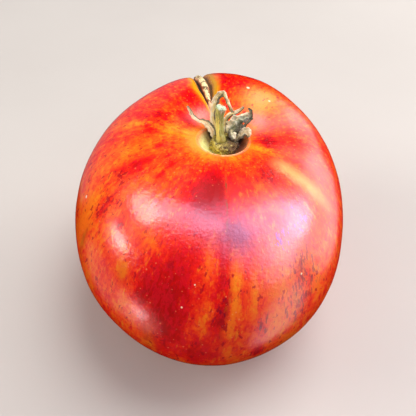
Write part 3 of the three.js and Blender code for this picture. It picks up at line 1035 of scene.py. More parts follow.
@dataclass(frozen=True)
class SkinFinish:
    """The ripe skin: red over orange in streaks that run from the pit to the blossom end."""

    ripeness: float = 0.55
    ripening: tuple[tuple[float, Colour], ...] = (
        (0.00, paint(248, 186, 60)), (0.18, paint(250, 152, 22)), (0.36, paint(254, 112, 14)),
        (0.53, paint(252, 68, 12)), (0.68, paint(238, 20, 8)), (0.84, paint(208, 1, 1)),
        (1.00, paint(180, 0, 0)))
    broad_share: float = 0.30
    middle_share: float = 0.32
    fine_share: float = 0.48
    blotch_share: float = 0.32
    mottle_share: float = 0.50
    peel_height: float = 0.11
    # Most patches are the skin's own deeper and paler places; the pale one at -120, 74 is a
    # painted highlight glow.
    deep_and_pale: tuple[Patch, ...] = lay(
        (121, 24, 8, 7, 0.22), (137, 32, 2, 6, 0.20), (158, 21, 7, 10, 0.16),
        (143, 13, 10, 5, 0.38), (166, 36.5, 3, 7, -0.25), (174, 25, 2.6, 3, 0.22),
        (-172, 29, 8, 16, -0.14), (-160, 62, 10, 16, -0.18), (-168, 21, 3.5, 2.3, 0.28),
        (-159, 33, 4.4, 7, 0.24), (-143, 20, 2.6, 2.3, 0.24), (-142, 26, 2, 2.9, 0.22),
        (-101, 23.5, 10.0, 7.5, 1.05), (-154, 52, 4, 6, 0.08), (-141, 49.5, 2, 2.3, 0.25),
        (-161, 65, 2.3, 10, -0.15), (-2, 11.5, 10, 4.7, 0.30), (-22, 13.7, 7, 6, -0.25),
        (-74, 18, 8, 5.5, 0.12), (-109, 62, 10, 20, 0.50), (-119, 59, 5, 8, 0.20),
        (-97, 44, 5, 6, 0.14), (-123, 45, 5.6, 3, -0.18), (-96, 44, 3.5, 6.7, -0.28),
        (-94, 64, 2.8, 6.3, -0.20), (-129, 62, 3.6, 4.4, -0.16), (-112, 82, 2.8, 10, -0.20),
        (-120, 74, 6, 7, -0.18), (-90, 47, 2.1, 7, 0.22), (-88, 62, 2.9, 7.4, 0.30),
        (-84, 59, 2.6, 18, -0.30), (-76, 54, 1.8, 7, -0.28), (-55, 51, 3.6, 4.5, -0.20),
        (-60, 63, 1.6, 6, -0.24), (-48, 64, 2, 9, -0.20), (-32, 61, 2, 6.5, -0.24),
        (-58, 55, 14, 16, -0.12), (-74, 84, 2, 4.7, 0.40), (-144, 78, 3.2, 21, -0.12),
        (-54, 88, 8, 5, -0.20), (-94, 81, 4, 8, 0.25), (-66, 68, 5, 10, -0.10),
        (80, 31, 14, 10, 0.22), (96, 27, 4, 14, -0.40), (56, 23.5, 18, 11, -0.52),
        (162, 15, 20, 6, -0.30), (130, 60, 12, 20, 0.20), (60, 75, 10, 22, 0.24),
        (20, 60, 14, 18, -0.16), (95, 80, 6, 22, -0.28), (0, 90, 10, 20, 0.20),
        (150, 90, 9, 20, 0.20))
    even: tuple[Patch, ...] = lay(
        (-122, 38, 24, 11, 1.0), (-62, 42, 26, 14, 1.0), (56, 24, 18, 11, 1.0))
    olive: tuple[Patch, ...] = lay(
        (-154, 72, 1.8, 7, 0.9), (-129, 62, 3.0, 4.0, 0.35), (-112, 82, 2.8, 10, 0.5),
        (-55, 51, 3.1, 4.1, 0.6), (-60, 63, 1.6, 5.5, 0.5), (-86.5, 60, 0.8, 15, 0.40),
        (98, 21, 2.5, 6, 0.6), (94, 50, 3, 14, 0.5))
    clusters: tuple[Patch, ...] = lay(
        (-160, 41.5, 6, 3, 1.5), (-154, 52, 5, 6.0, 1.1), (-141, 49.5, 2.2, 2.2, 1.4),
        (-101, 22.5, 8.5, 5.4, 0.8), (-50, 19.0, 10, 4.5, 1.8), (-36, 21.5, 8, 4.0, 1.2),
        (-116, 25, 8.7, 3, 0.9), (-2, 12.2, 18, 2.2, 1.2), (-56, 52, 5.3, 6, 0.9),
        (-56, 60, 6, 12, 0.55), (-109, 62, 10, 20, 0.55), (-88, 62, 3, 7.5, 1.0),
        (-72, 69, 1.6, 5, 1.3), (-74, 84, 2, 4, 1.3), (-58, 67, 5.4, 9, 0.6),
        (-15, 14, 10, 3, 0.7), (165, 24, 12, 6, 0.4), (100, 70, 20, 20, 0.5),
        (30, 60, 15, 20, 0.4))
    deepest: tuple[Patch, ...] = lay((-96, 21.5, 8.5, 5.4, 1.0), (-104, 27.0, 8.5, 6.0, 0.9))
    # Painted dark reflection: where the sheen has a dark gap, the skin is a duskier, darker red.
    dark_reflection: tuple[Patch, ...] = lay((-82, 34.5, 10.0, 6.5, 1.0), (-98, 34.0, 12.0, 6.0, 0.35))
    violet: tuple[Patch, ...] = lay((-48, 38, 4.8, 4.0, 1.3), (-61, 40, 4.4, 3.4, 1.1))
    plum: tuple[Patch, ...] = lay(
        (-52, 54, 9, 10, 0.8), (-72, 69, 2.2, 6, 0.9), (-88, 62, 3, 7, 0.8),
        (-60, 67, 6, 9, 0.6), (-74, 84, 3, 4, 1.0))
    # Painted sheen: pink patches beside the stem and over the front stand for the skin's sheen.
    pink_sheen_patches: tuple[Patch, ...] = lay(
        (121, 12, 15, 3.4, 0.55), (39, 13.2, 15, 3.8, 0.50), (55, 24, 14, 8, 0.25),
        (24, 28, 14, 16, 0.30), (-16, 34, 9, 12, 0.30), (-52, 42, 11, 12, 0.22),
        (-62, 58, 10, 12, 0.16))
    white_specks: tuple[tuple[float, float, float], ...] = (
        (68.5, 27.6, 0.55), (47, 26, 0.42), (-166.5, 61.8, 0.45), (-103, 61, 0.25),
        (-56, 55, 0.28), (-100, 52, 0.2), (120, 48, 0.4), (-20, 70, 0.35))
    suture_degrees: float = -88.4
    streak_degrees: float = -31
    streak_drift: float = 0.16

    def build(self, form: FruitForm, crack: Crack) -> bpy.types.Material:
        """Makes the skin's material.

        Args:
            form: The fruit's form.
            crack: The healed crack.

        Returns:
            The material.
        """
        shader = Shader("tomato_skin")
        at = SkinPlace(shader, form)
        clusters = shader.clamp(at.patches(self.clusters), 0.0, 1.8)
        colour = self._streaked(at, self._ripe(at, clusters))
        colour, dark = self._specks(at, colour, clusters)
        colour = self._shades(at, colour, clusters)
        colour = self._lines(at, colour)
        colour = self._pit(at, colour)
        colour, cork = self._cork(at, colour, crack)
        colour = self._blossom_end(at, colour)

        lip = at.above * shader.bell(at.radius - (at.pit_lip + 0.1), 0.35)
        inside = at.above * (1 - shader.soft(at.pit_lip - 0.4, at.pit_lip, at.radius))
        dull = shader.clamp(cork + lip + inside)
        dulled = shader.speckle(at.place, 95.0, 3.0, 0.55)
        roughness = 0.22 + (dulled - 0.5) * 0.10 + (at.mottle - 0.5) * 0.10 \
            + dull * 0.40 + dark * 0.05
        peel = shader.speckle(at.place, 1300.0, 2.0, 0.5) * 0.6 + at.mottle * 0.30 \
            + at.fine * 0.15 + dull * shader.speckle(at.place, 2600.0, 2.0, 0.7) * 1.6
        return shader.cover(colour, roughness, peel, self.peel_height, {
            "Specular IOR Level": 0.55, "Coat Weight": 0.25, "Coat Roughness": 0.15,
            "Subsurface Weight": 0.05, "Subsurface Radius": (1.0, 0.2, 0.05),
            "Subsurface Scale": 0.0015})

    def _ripe(self, at: SkinPlace, clusters: Value) -> Value:
        """Tells how ripe the skin is, from orange at 0 to deep red at 1.

        Args:
            at: The place on the skin.
            clusters: Where dark specks gather.

        Returns:
            The ripeness here.
        """
        shader = at.shader
        halo = at.above * (1 - shader.soft(at.pit_lip - 0.5, 14.0,
                                           at.radius - (at.middle - 0.5) * 12))
        calm = 1 - at.above * (1 - shader.soft(7.0, 16.0, at.radius)) * 0.7
        blotches = shader.speckle(at.place, 230.0, 3.0, 0.6, 0.4)
        even = 1 - shader.clamp(at.patches(self.even, bent=False)) * 0.5
        streaks = ((at.middle - 0.5) * self.middle_share
                   + (at.fine - 0.5) * self.fine_share) * calm \
            + (blotches - 0.5) * self.blotch_share + (at.mottle - 0.5) * self.mottle_share
        ripe = (self.ripeness + (at.broad - 0.5) * self.broad_share + streaks * even
                + at.patches(self.deep_and_pale) + clusters * 0.08 - halo * 0.24)
        return shader.maths("MAXIMUM", ripe, 0.12 + shader.soft(0.75, 1.1, at.polar) * 0.24)

    def _streaked(self, at: SkinPlace, ripe: Value) -> bpy.types.NodeSocket:
        """Colours the skin by its ripeness, with crimson and amber dashes and olive places.

        Args:
            at: The place on the skin.
            ripe: The ripeness here.

        Returns:
            The colour.
        """
        shader = at.shader
        colour = shader.ramp(ripe, self.ripening)
        crimson = shader.soft(0.55, 0.64, at.dashes + (ripe - self.ripeness) * 0.25) \
            * shader.soft(0.25, 0.60, ripe)
        colour = shader.mix(crimson * 0.5, colour, paint(228, 6, 36))
        amber = shader.soft(0.58, 0.70, at.even_streaks(5.0, 7.0, 21.0, 2.0, 0.6)) \
            * (1 - shader.soft(0.50, 0.90, ripe))
        colour = shader.mix(amber * 0.45, colour, paint(250, 150, 20))
        olive = shader.clamp(at.patches(self.olive) * (0.5 + at.fine))
        return shader.mix(olive * 0.7, colour, paint(172, 94, 8))

    def _specks(self, at: SkinPlace, colour: bpy.types.NodeSocket,
                clusters: Value) -> tuple[bpy.types.NodeSocket, Value]:
        """Scatters crimson blots, dark specks, and plum and violet spots in their patches.

        Args:
            at: The place on the skin.
            colour: Colour of the skin below.
            clusters: Where dark specks gather.

        Returns:
            The colour with the specks, and where the dark ones are.
        """
        shader = at.shader
        blots = shader.soft(0.555, 0.63, at.even_streaks(4.8, 15.0, 1.9, 2.0, 0.55)
                            + clusters * 0.10 - 0.075)
        colour = shader.mix(blots * 0.85, colour, paint(184, 0, 20))
        grain = shader.speckle(at.place, 1150.0, 2.0, 0.6)
        dark = shader.soft(0.58, 0.66, grain + clusters * 0.085) * (0.35 + clusters * 0.4)
        dark = shader.clamp(dark + shader.dots(at.place, 1300.0, 0.42, clusters * 0.26 + 0.04))
        colour = shader.mix(dark * 0.7, colour, paint(214, 40, 150), "MULTIPLY")
        plum = at.spots(at.even_streaks(8.0, 8.0, 9.1, 1.0, 0.5), 0.57, 0.61, self.plum, 0.06)
        colour = shader.mix(plum * 0.55, colour, paint(74, 4, 44))
        violet = at.spots(at.even_streaks(5.5, 13.0, 4.3, 2.0, 0.55), 0.56, 0.62,
                          self.violet, 0.09)
        return shader.mix(violet * 0.85, colour, paint(104, 60, 150)), dark

    def _shades(self, at: SkinPlace, colour: bpy.types.NodeSocket,
                clusters: Value) -> bpy.types.NodeSocket:
        """Lays on the deep red, a darker red painted dark reflection, fine pale specks and pink
        painted sheen.

        Args:
            at: The place on the skin.
            colour: Colour of the skin below.
            clusters: Where specks gather.

        Returns:
            The colour with the shades.
        """
        shader = at.shader
        deepest = shader.soft(0.30, 1.15, at.patches(self.deepest)
                              + (at.mottle - 0.5) * 1.8 + (at.dashes - 0.5) * 1.6)
        colour = shader.mix(deepest * 0.9, colour, paint(162, 0, 2))
        # Painted dark reflection: a duskier, darker red where the sheen has a dark gap.
        dark_reflection = shader.clamp(at.patches(self.dark_reflection) * (0.5 + at.mottle))
        colour = shader.mix(dark_reflection, colour, paint(146, 20, 50))
        pale = shader.dots(at.place, 1200.0, 0.36, clusters * 0.16 + 0.12)
        colour = shader.mix(pale * 0.45, colour, paint(253, 150, 96))
        # Painted sheen: the pink patches lighten the skin where the sheen lies.
        pink_sheen = shader.clamp(at.patches(self.pink_sheen_patches) * (0.6 + at.mottle * 0.8))
        return shader.mix(pink_sheen, colour, paint(254, 176, 178))

    def _lines(self, at: SkinPlace, colour: bpy.types.NodeSocket) -> bpy.types.NodeSocket:
        """Draws the suture, the pale streak and the white specks.

        Args:
            at: The place on the skin.
            colour: Colour of the skin below.

        Returns:
            The colour with the lines.
        """
        shader = at.shader
        down = at.polar * (180 / math.pi)
        wander = (at.fine - 0.5) * 0.5
        from_suture = shader.wrapped(at.azimuth - math.radians(self.suture_degrees)) * at.radius
        suture = shader.bell(from_suture + wander * 1.6, 0.24) \
            * shader.soft(13.0, 17.0, down) * (1 - shader.soft(26.0, 38.0, down)) \
            * (0.2 + shader.soft(0.40, 0.62, at.fine))
        colour = shader.mix(suture * 0.7, colour, paint(122, 84, 36))
        middle = math.radians(self.streak_degrees) \
            + (down - 30.0) * math.radians(self.streak_drift)
        from_streak = shader.wrapped(at.azimuth - middle) * at.radius
        streak = shader.bell(from_streak + wander * 4.0, 2.0) \
            * shader.soft(14.0, 24.0, down) * (1 - shader.soft(34.0, 54.0, down))
        colour = shader.mix(streak * (0.30 + at.fine * 0.6), colour, paint(255, 206, 124))
        for turn, fall, wide in self.white_specks:
            across = shader.wrapped(at.azimuth - math.radians(turn)) * at.radius
            along = (at.polar - math.radians(fall)) * 40.0
            far = across * across + along * along
            spot = 1 - shader.soft(wide * wide * 0.5, wide * wide * 1.3, far)
            colour = shader.mix(spot * 0.9, colour, paint(252, 232, 200))
        return colour

    def _pit(self, at: SkinPlace, colour: bpy.types.NodeSocket) -> bpy.types.NodeSocket:
        """Colours the pit: painted light and shade, pale yellow and brown, and a corky lip.

        Args:
            at: The place on the skin.
            colour: Colour of the skin round it.

        Returns:
            The colour with the pit.
        """
        shader, azimuth, radius, above = at.shader, at.azimuth, at.radius, at.above
        lip_radius = at.pit_lip
        cork = shader.speckle(at.place, 1100.0, 3.0, 0.65)
        glow = above * shader.bell(shader.wrapped(azimuth - math.radians(-165)), 0.75) \
            * (1 - shader.soft(lip_radius, 11.5, radius + (cork - 0.5) * 4))
        colour = shader.mix(glow * 0.75, colour, paint(248, 178, 70))
        inside = above * (1 - shader.soft(lip_radius - 0.35, lip_radius - 0.05,
                                          radius + (cork - 0.5) * 0.4))
        # Painted light and shade: the wall on the lit side, round -142 degrees, is pale yellow and
        # the shaded wall is brown.
        left = shader.soft(-0.25, 0.75,
                           shader.cosine(azimuth - math.radians(-142)) + (cork - 0.5) * 0.9)
        # Painted shade: the wall is mixed towards dark olive nearer the pit's floor, less so on
        # the lit side.
        deep = 1 - shader.soft(2.2, 5.0, radius + (cork - 0.5) * 1.5)
        x, y = radius * shader.cosine(azimuth), radius * shader.sine(azimuth)
        # Painted shadow: two hollows of the pit's wall are painted near black.
        shadowed_hollow = shader.bell(x + 3.0, 1.6) * shader.bell(y - 5.2, 1.7) \
            + shader.bell(x - 4.2, 1.3) * shader.bell(y - 2.6, 1.4)
        wall = shader.mix(left, paint(150, 78, 30), paint(255, 253, 166))
        rising = shader.soft(5.5, lip_radius, radius + (cork - 0.5) * 1.2)
        wall = shader.mix(rising * 0.7, wall, paint(250, 160, 96))
        wall = shader.mix(deep * (0.45 - left * 0.42), wall, paint(150, 132, 50))
        wall = shader.mix(shader.soft(0.52, 0.78, cork) * 0.35, wall, paint(120, 90, 36))
        wall = shader.mix(shader.clamp(shadowed_hollow * 1.5) * 0.96, wall, paint(20, 12, 6))
        colour = shader.mix(inside, colour, wall)
        lip = above * shader.bell(radius - (lip_radius + 0.08) + (cork - 0.5) * 0.8, 0.24) \
            * shader.soft(0.40, 0.62, shader.speckle(at.place, 520.0, 2.0, 0.6) + 0.06)
        front = shader.soft(0.1, 0.8, -shader.sine(azimuth))
        edge = shader.mix(front, paint(206, 140, 70), paint(244, 196, 150))
        return shader.mix(lip * 0.8, colour, edge)

    def _cork(self, at: SkinPlace, colour: bpy.types.NodeSocket,
              crack: Crack) -> tuple[bpy.types.NodeSocket, Value]:
        """Colours the healed crack: cream cork, dark grooves and yellow and olive flanks.

        Args:
            at: The place on the skin.
            colour: Colour of the skin round it.
            crack: The healed crack.

        Returns:
            The colour with the crack, and where it is cork.
        """
        shader, strength = at.shader, at.strength
        knots = shader.speckle(at.place, 620.0, 2.0, 0.55, 0.6)
        shown = shader.soft(0.02, 0.35, strength)
        narrow = crack.narrowest + (1 - crack.narrowest) * strength * strength
        far = at.side / narrow + (knots - 0.5) * 1.1
        flank = shader.bell(far - 3.2, 1.3) * shown
        right = shader.soft(-0.5, 0.5, -at.offset)
        tint = shader.mix(right, paint(250, 172, 20), paint(186, 136, 18))
        colour = shader.mix(shader.clamp(flank * 1.1) * 0.85, colour, tint)
        groove = shader.bell(far - crack.groove_offset, 0.66) * shader.soft(0.10, 0.5, strength)
        bed = shader.mix(right, paint(34, 20, 8), paint(92, 64, 18))
        colour = shader.mix(shader.clamp(groove * 1.3), colour, bed)
        ridge = (1 - shader.soft(0.75, 1.25, far)) * shader.soft(0.30, 0.55, strength)
        cream = shader.mix(shader.soft(0.42, 0.60, knots), paint(250, 232, 172),
                           paint(112, 78, 38))
        colour = shader.mix(ridge, colour, cream)
        tail = shader.bell(at.side + (knots - 0.5) * 1.2, 0.62) \
            * shader.soft(0.02, 0.10, strength) * (1 - shader.soft(0.36, 0.52, strength))
        colour = shader.mix(tail * 0.9, colour, paint(246, 214, 168))
        return colour, shader.clamp(ridge + groove)

    def _blossom_end(self, at: SkinPlace, colour: bpy.types.NodeSocket) -> bpy.types.NodeSocket:
        """Colours the small scar under the fruit.

        Args:
            at: The place on the skin.
            colour: Colour of the skin round it.

        Returns:
            The colour with the scar.
        """
        shader = at.shader
        near = math.pi - at.polar + (at.fine - 0.5) * 0.08
        colour = shader.mix((1 - shader.soft(0.06, 0.30, near)) * 0.55, colour,
                            paint(238, 140, 40))
        return shader.mix(1 - shader.soft(0.035, 0.06, near), colour, paint(120, 84, 48))


@dataclass(frozen=True)
class StemForm:
    """The short stem: a ribbed rod that leans back and ends in a swollen cut."""

    route: tuple[tuple[float, float, float], ...] = (
        (-0.7, 0.6, 0.6), (-0.7, 0.6, 4.0), (-1.1, 1.5, 6.3), (-1.3, 2.6, 8.8),
        (-1.3, 3.4, 11.0), (-1.0, 4.2, 12.9))
    radius: float = 1.0
    foot_radius: float = 1.6
    tip_radius: float = 1.3
    ribs: int = 5
    rib_height: float = 0.12


class Stem:
    """The stem, made along its route by Geometry Nodes."""

    name = "tomato_stem"
    steps: int = 130
    sides: int = 64
    cap_share: float = 0.045
    merge_distance: float = 0.000002

    def __init__(self, form: StemForm, crown: Matrix) -> None:
        """Keeps the stem's form and the place and turn of the pit's floor."""
        self.form = form
        self.crown = crown

    def _route(self) -> bpy.types.Curve:
        """Gives the stem's route as a curve of short straight steps, in metres."""
        curve = bpy.data.curves.new("stem_route", "CURVE")
        curve.dimensions = "3D"
        spline = curve.splines.new("POLY")
        spline.points.add(self.steps)
        for index, point in enumerate(spline.points):
            place = self.crown @ smooth_route(self.form.route, index / self.steps)
            point.co = (*(place * MM), 1.0)
        return curve

    def _recipe(self, material: bpy.types.Material) -> Recipe:
        """Writes the tree that makes the stem.

        Args:
            material: Finish of the stem.

        Returns:
            The tree.
        """
        recipe = Recipe("stem_rod")
        route = recipe.node("GeometryNodeResampleCurve", {"mode": "COUNT"}, {
            "Curve": recipe.source.outputs[0], "Count": recipe.count("Steps", self.steps)})
        share = Value(recipe, recipe.node("GeometryNodeSplineParameter").outputs["Factor"])
        kept = recipe.store(route.outputs[0], "share", recipe.vector(share, 0.0, 0.0))
        plain = recipe.size("Radius", self.form.radius)
        flare = 1 - recipe.soft(0.18, 0.42, share)
        swell = recipe.soft(0.7, 0.95, share)
        radius = plain + flare * (recipe.size("Foot radius", self.form.foot_radius) - plain) \
            + swell * (recipe.size("Tip radius", self.form.tip_radius) - plain)
        cap = recipe.clamp((share - (1 - self.cap_share)) / self.cap_share)
        round_off = recipe.power(1 - recipe.power(cap, 2.6), 0.42)
        rod = recipe.node("GeometryNodeSetCurveRadius", None, {
            "Curve": kept, "Radius": radius * round_off})
        circle = recipe.node("GeometryNodeCurvePrimitiveCircle", None, {
            "Resolution": recipe.count("Sides", self.sides), "Radius": MM})
        around = Value(recipe, recipe.node("GeometryNodeSplineParameter").outputs["Factor"])
        turn = around * FULL_TURN
        profile = recipe.store(circle.outputs[0], "turn",
                               recipe.vector(recipe.cosine(turn), recipe.sine(turn), 0.0))
        radius_here = recipe.node("GeometryNodeInputRadius").outputs[0]
        body = recipe.node("GeometryNodeCurveToMesh", None, {
            "Curve": rod.outputs[0], "Profile Curve": profile, "Scale": radius_here,
            "Fill Caps": True})
        merged = recipe.node("GeometryNodeMergeByDistance", None, {
            "Geometry": body.outputs[0], "Distance": self.merge_distance})
        recipe.close(self._ribbed(recipe, merged.outputs[0]), material)
        return recipe

    def _ribbed(self, recipe: Recipe, rod: bpy.types.NodeSocket) -> bpy.types.NodeSocket:
        """Raises the ribs, the fibres and the rim of the cut.

        Args:
            recipe: The tree.
            rod: The plain rod.

        Returns:
            The ribbed rod.
        """
        share = recipe.stored("share")[0]
        cos_turn, sin_turn, _ = recipe.stored("turn")
        turn = recipe.maths("ARCTAN2", sin_turn, cos_turn)
        place = recipe.node("GeometryNodeInputPosition").outputs[0]
        grown = recipe.soft(0.18, 0.45, share) * (1 - recipe.soft(0.90, 0.97, share))
        ribs = recipe.cosine(turn * float(self.form.ribs) + share * 1.5)
        deep = recipe.maths("MINIMUM", ribs, 0.55)
        along = recipe.vector(cos_turn * 4, sin_turn * 4, share * 5)
        fibres = recipe.speckle(along, 1.6, 3.0, 0.6)
        lumps = recipe.speckle(place, 420.0, 2.0, 0.55) - 0.5
        rim = recipe.bell(share - 0.945, 0.022)
        relief = (recipe.size("Rib height", self.form.rib_height) * grown * deep * 1.6
                  + (fibres - 0.5) * recipe.size("Fibres", 0.34)
                  + lumps * recipe.size("Lumps", 0.6) * (1 + recipe.soft(0.84, 0.92, share) * 1.6)
                  + rim * recipe.size("Rim of the cut", 0.22) * (0.5 + fibres))
        return recipe.moved(rod, relief)

    def build(self, material: bpy.types.Material) -> bpy.types.Object:
        """Makes the stem.

        Args:
            material: Finish of the stem.

        Returns:
            The piece.
        """
        piece = self._recipe(material).make(self.name, self._route())
        adopt(piece, "stem_fibre", "stem")
        return piece


@dataclass(frozen=True)
class StemFinish:
    """Drying green stem: yellow-green on its left, olive behind, painted as light and shade, and a
    pale cut end.
    """

    def build(self) -> bpy.types.Material:
        """Makes the stem's material.

        Returns:
            The material.
        """
        shader = Shader("stem_fibre")
        place = shader.place()
        share = shader.parts(shader.attribute("share"))[0]
        cos_turn, sin_turn, _ = shader.parts(shader.attribute("turn"))
        x, _, _ = shader.parts(shader.node("ShaderNodeNewGeometry").outputs["Normal"])
        along = shader.vector(cos_turn * 5, sin_turn * 5, share * 5)
        fibres = shader.speckle(along, 1.8, 3.0, 0.6)
        spots = shader.speckle(place, 900.0, 3.0, 0.65)
        # Painted light and shade: the side whose surface faces -X is painted pale yellow as lit,
        # the other side olive as shaded.
        left = shader.soft(-0.45, 0.5, (fibres - 0.5) * 0.9 - x)
        colour = shader.mix(left, paint(160, 172, 84), paint(250, 248, 132))
        green = shader.bell(x - 0.25, 0.3) * shader.soft(0.3, 0.5, share)
        colour = shader.mix(green * 0.8, colour, paint(220, 232, 140))
        line = shader.bell(x + 0.36, 0.10) * shader.soft(0.58, 0.70, share)
        crease = shader.bell(x - 0.05, 0.08) * shader.soft(0.2, 0.4, share)
        colour = shader.mix(shader.clamp(line + crease) * 0.85, colour, paint(84, 112, 42))
        colour = shader.mix(shader.soft(0.56, 0.72, fibres) * 0.35, colour, paint(150, 160, 64))
        colour = shader.mix(shader.soft(0.62, 0.76, spots) * 0.3, colour, paint(126, 120, 46))
        top = shader.soft(0.66, 0.82, share)
        colour = shader.mix(top * 0.55, colour, paint(122, 160, 92))
        foot = 1 - shader.soft(0.20, 0.48, share + (spots - 0.5) * 0.2)
        colour = shader.mix(foot * 0.7, colour, paint(190, 172, 78))
        cut = shader.soft(0.86, 0.93, share + x * 0.07 + (fibres - 0.5) * 0.06)
        pale = shader.mix(shader.soft(0.44, 0.66, spots), paint(216, 232, 200),
                          paint(120, 148, 92))
        colour = shader.mix(cut, colour, pale)
        roughness = 0.52 + (spots - 0.5) * 0.3
        relief = fibres * 0.6 + spots * 0.5
        return shader.cover(colour, roughness, relief, 0.10, {
            "Subsurface Weight": 0.05, "Subsurface Radius": (0.6, 0.8, 0.2),
            "Subsurface Scale": 0.001, "Specular IOR Level": 0.4})


class Tone(Enum):
    """The colour that a sepal has dried to: how far from straw to grey-green."""

    STRAW = 0.05
    BEIGE = 0.25
    TAN = 0.45
    GREEN = 0.7
    GREY_GREEN = 0.9


@dataclass(frozen=True)
class Sepal:
    """A dried sepal: its route from the collar, widths, the way it faces and its folds."""

    route: tuple[tuple[float, float, float], ...]
    half_widths: tuple[float, ...]
    face: tuple[float, float, float]
    fold: float
    tone: Tone
    crumple: float = 0.35
    waves: float = 2.5
    free_root: bool = False


SEPALS: dict[str, Sepal] = {
    "left": Sepal(
        ((-2.4, 2.7, 2.0), (-3.2, 3.9, 4.2), (-4.6, 4.8, 5.6), (-6, 5.1, 6.1), (-7.3, 5.4, 6.3),
         (-8.5, 6.1, 6.7), (-9.5, 7.1, 7.4), (-10.2, 7.6, 8.3), (-10.7, 7.9, 9.3)),
        (1.2, 1.3, 1.2, 0.85, 0.65, 0.65, 0.6, 0.5, 0.3), (0.1, -0.3, 0.95), 0.25, Tone.BEIGE,
        0.22),
    "back": Sepal(
        ((-1.3, 3.5, 2.2), (-2.3, 4.6, 4.4), (-2.9, 6, 6.5), (-3, 7.5, 8.1), (-2.7, 8.9, 9.5),
         (-2.2, 10, 10.7), (-1.3, 10.5, 11.7), (-0.4, 10.8, 12.3), (0.3, 9.9, 11.8),
         (0.9, 8.7, 11), (1.5, 7.7, 10.2), (2, 6.8, 9.4), (3.1, 6.6, 8.8)),
        (1.2, 1.1, 0.9, 0.9, 1.0, 1.1, 0.9, 0.7, 0.6, 0.6, 0.6, 0.6, 0.3), (-0.3, -0.9, 0.4),
        0.3, Tone.STRAW, 0.3, 4.5),
    "straw": Sepal(
        ((0.4, 3.5, 2.2), (0.4, 4.7, 4.4), (0.6, 6, 5.9), (1.3, 6.9, 6.8), (2.5, 7.4, 7.3),
         (3.7, 7.6, 7.8), (4.9, 8.1, 8.4), (5.8, 8.6, 9.2)),
        (1.0, 1.0, 0.9, 0.8, 0.7, 0.6, 0.5, 0.3), (0.1, -0.7, 0.7), 0.2, Tone.STRAW, 0.25),
    "broad": Sepal(
        ((2.2, 2.2, 1.9), (2.2, 2.9, 3.6), (2.7, 3.8, 5), (3.7, 4.6, 6.1), (5.1, 5.4, 7),
         (6.6, 6, 7.7), (7.8, 6.3, 8.3), (7.7, 6.9, 9.1), (6.9, 7.2, 10)),
        (1.2, 1.6, 2.2, 2.2, 1.6, 1.1, 0.9, 0.6, 0.3), (-0.4, -0.6, 0.7), 0.7, Tone.GREY_GREEN,
        0.5, 5.0),
    "lower": Sepal(
        ((3.1, 1.8, 1.8), (3.5, 2.6, 3.6), (4.2, 3.2, 4.8), (5.2, 3.8, 5.6), (6.4, 4.5, 6.2),
         (7.6, 5.2, 6.8), (8.5, 5.9, 7.5)),
        (1.1, 1.1, 1.0, 0.8, 0.6, 0.6, 0.3), (-0.5, -0.5, 0.6), 0.2, Tone.GREY_GREEN, 0.35),
    "flap": Sepal(
        ((2.5, 3.4, 4.6), (2.4, 2.5, 5.1), (2.5, 1.5, 5.1), (2.7, 0.7, 4.6), (2.9, 0.1, 3.9)),
        (0.9, 1.1, 1.1, 1.0, 0.5), (0.1, -0.35, 0.9), 0.35, Tone.GREEN, 0.3, 2.5, True),
    "rim": Sepal(
        ((3, 0.2, 1.8), (4, 0.7, 3.4), (4.9, 1.3, 4.6), (5.9, 1.8, 5.4), (6.7, 1.7, 5.8),
         (7.1, 0.8, 5.6), (7.1, 0, 5.2)),
        (1.0, 1.1, 1.3, 1.4, 1.3, 1.0, 0.5), (-0.5, -0.2, 0.8), 0.4, Tone.TAN, 0.4, 3.5),
}


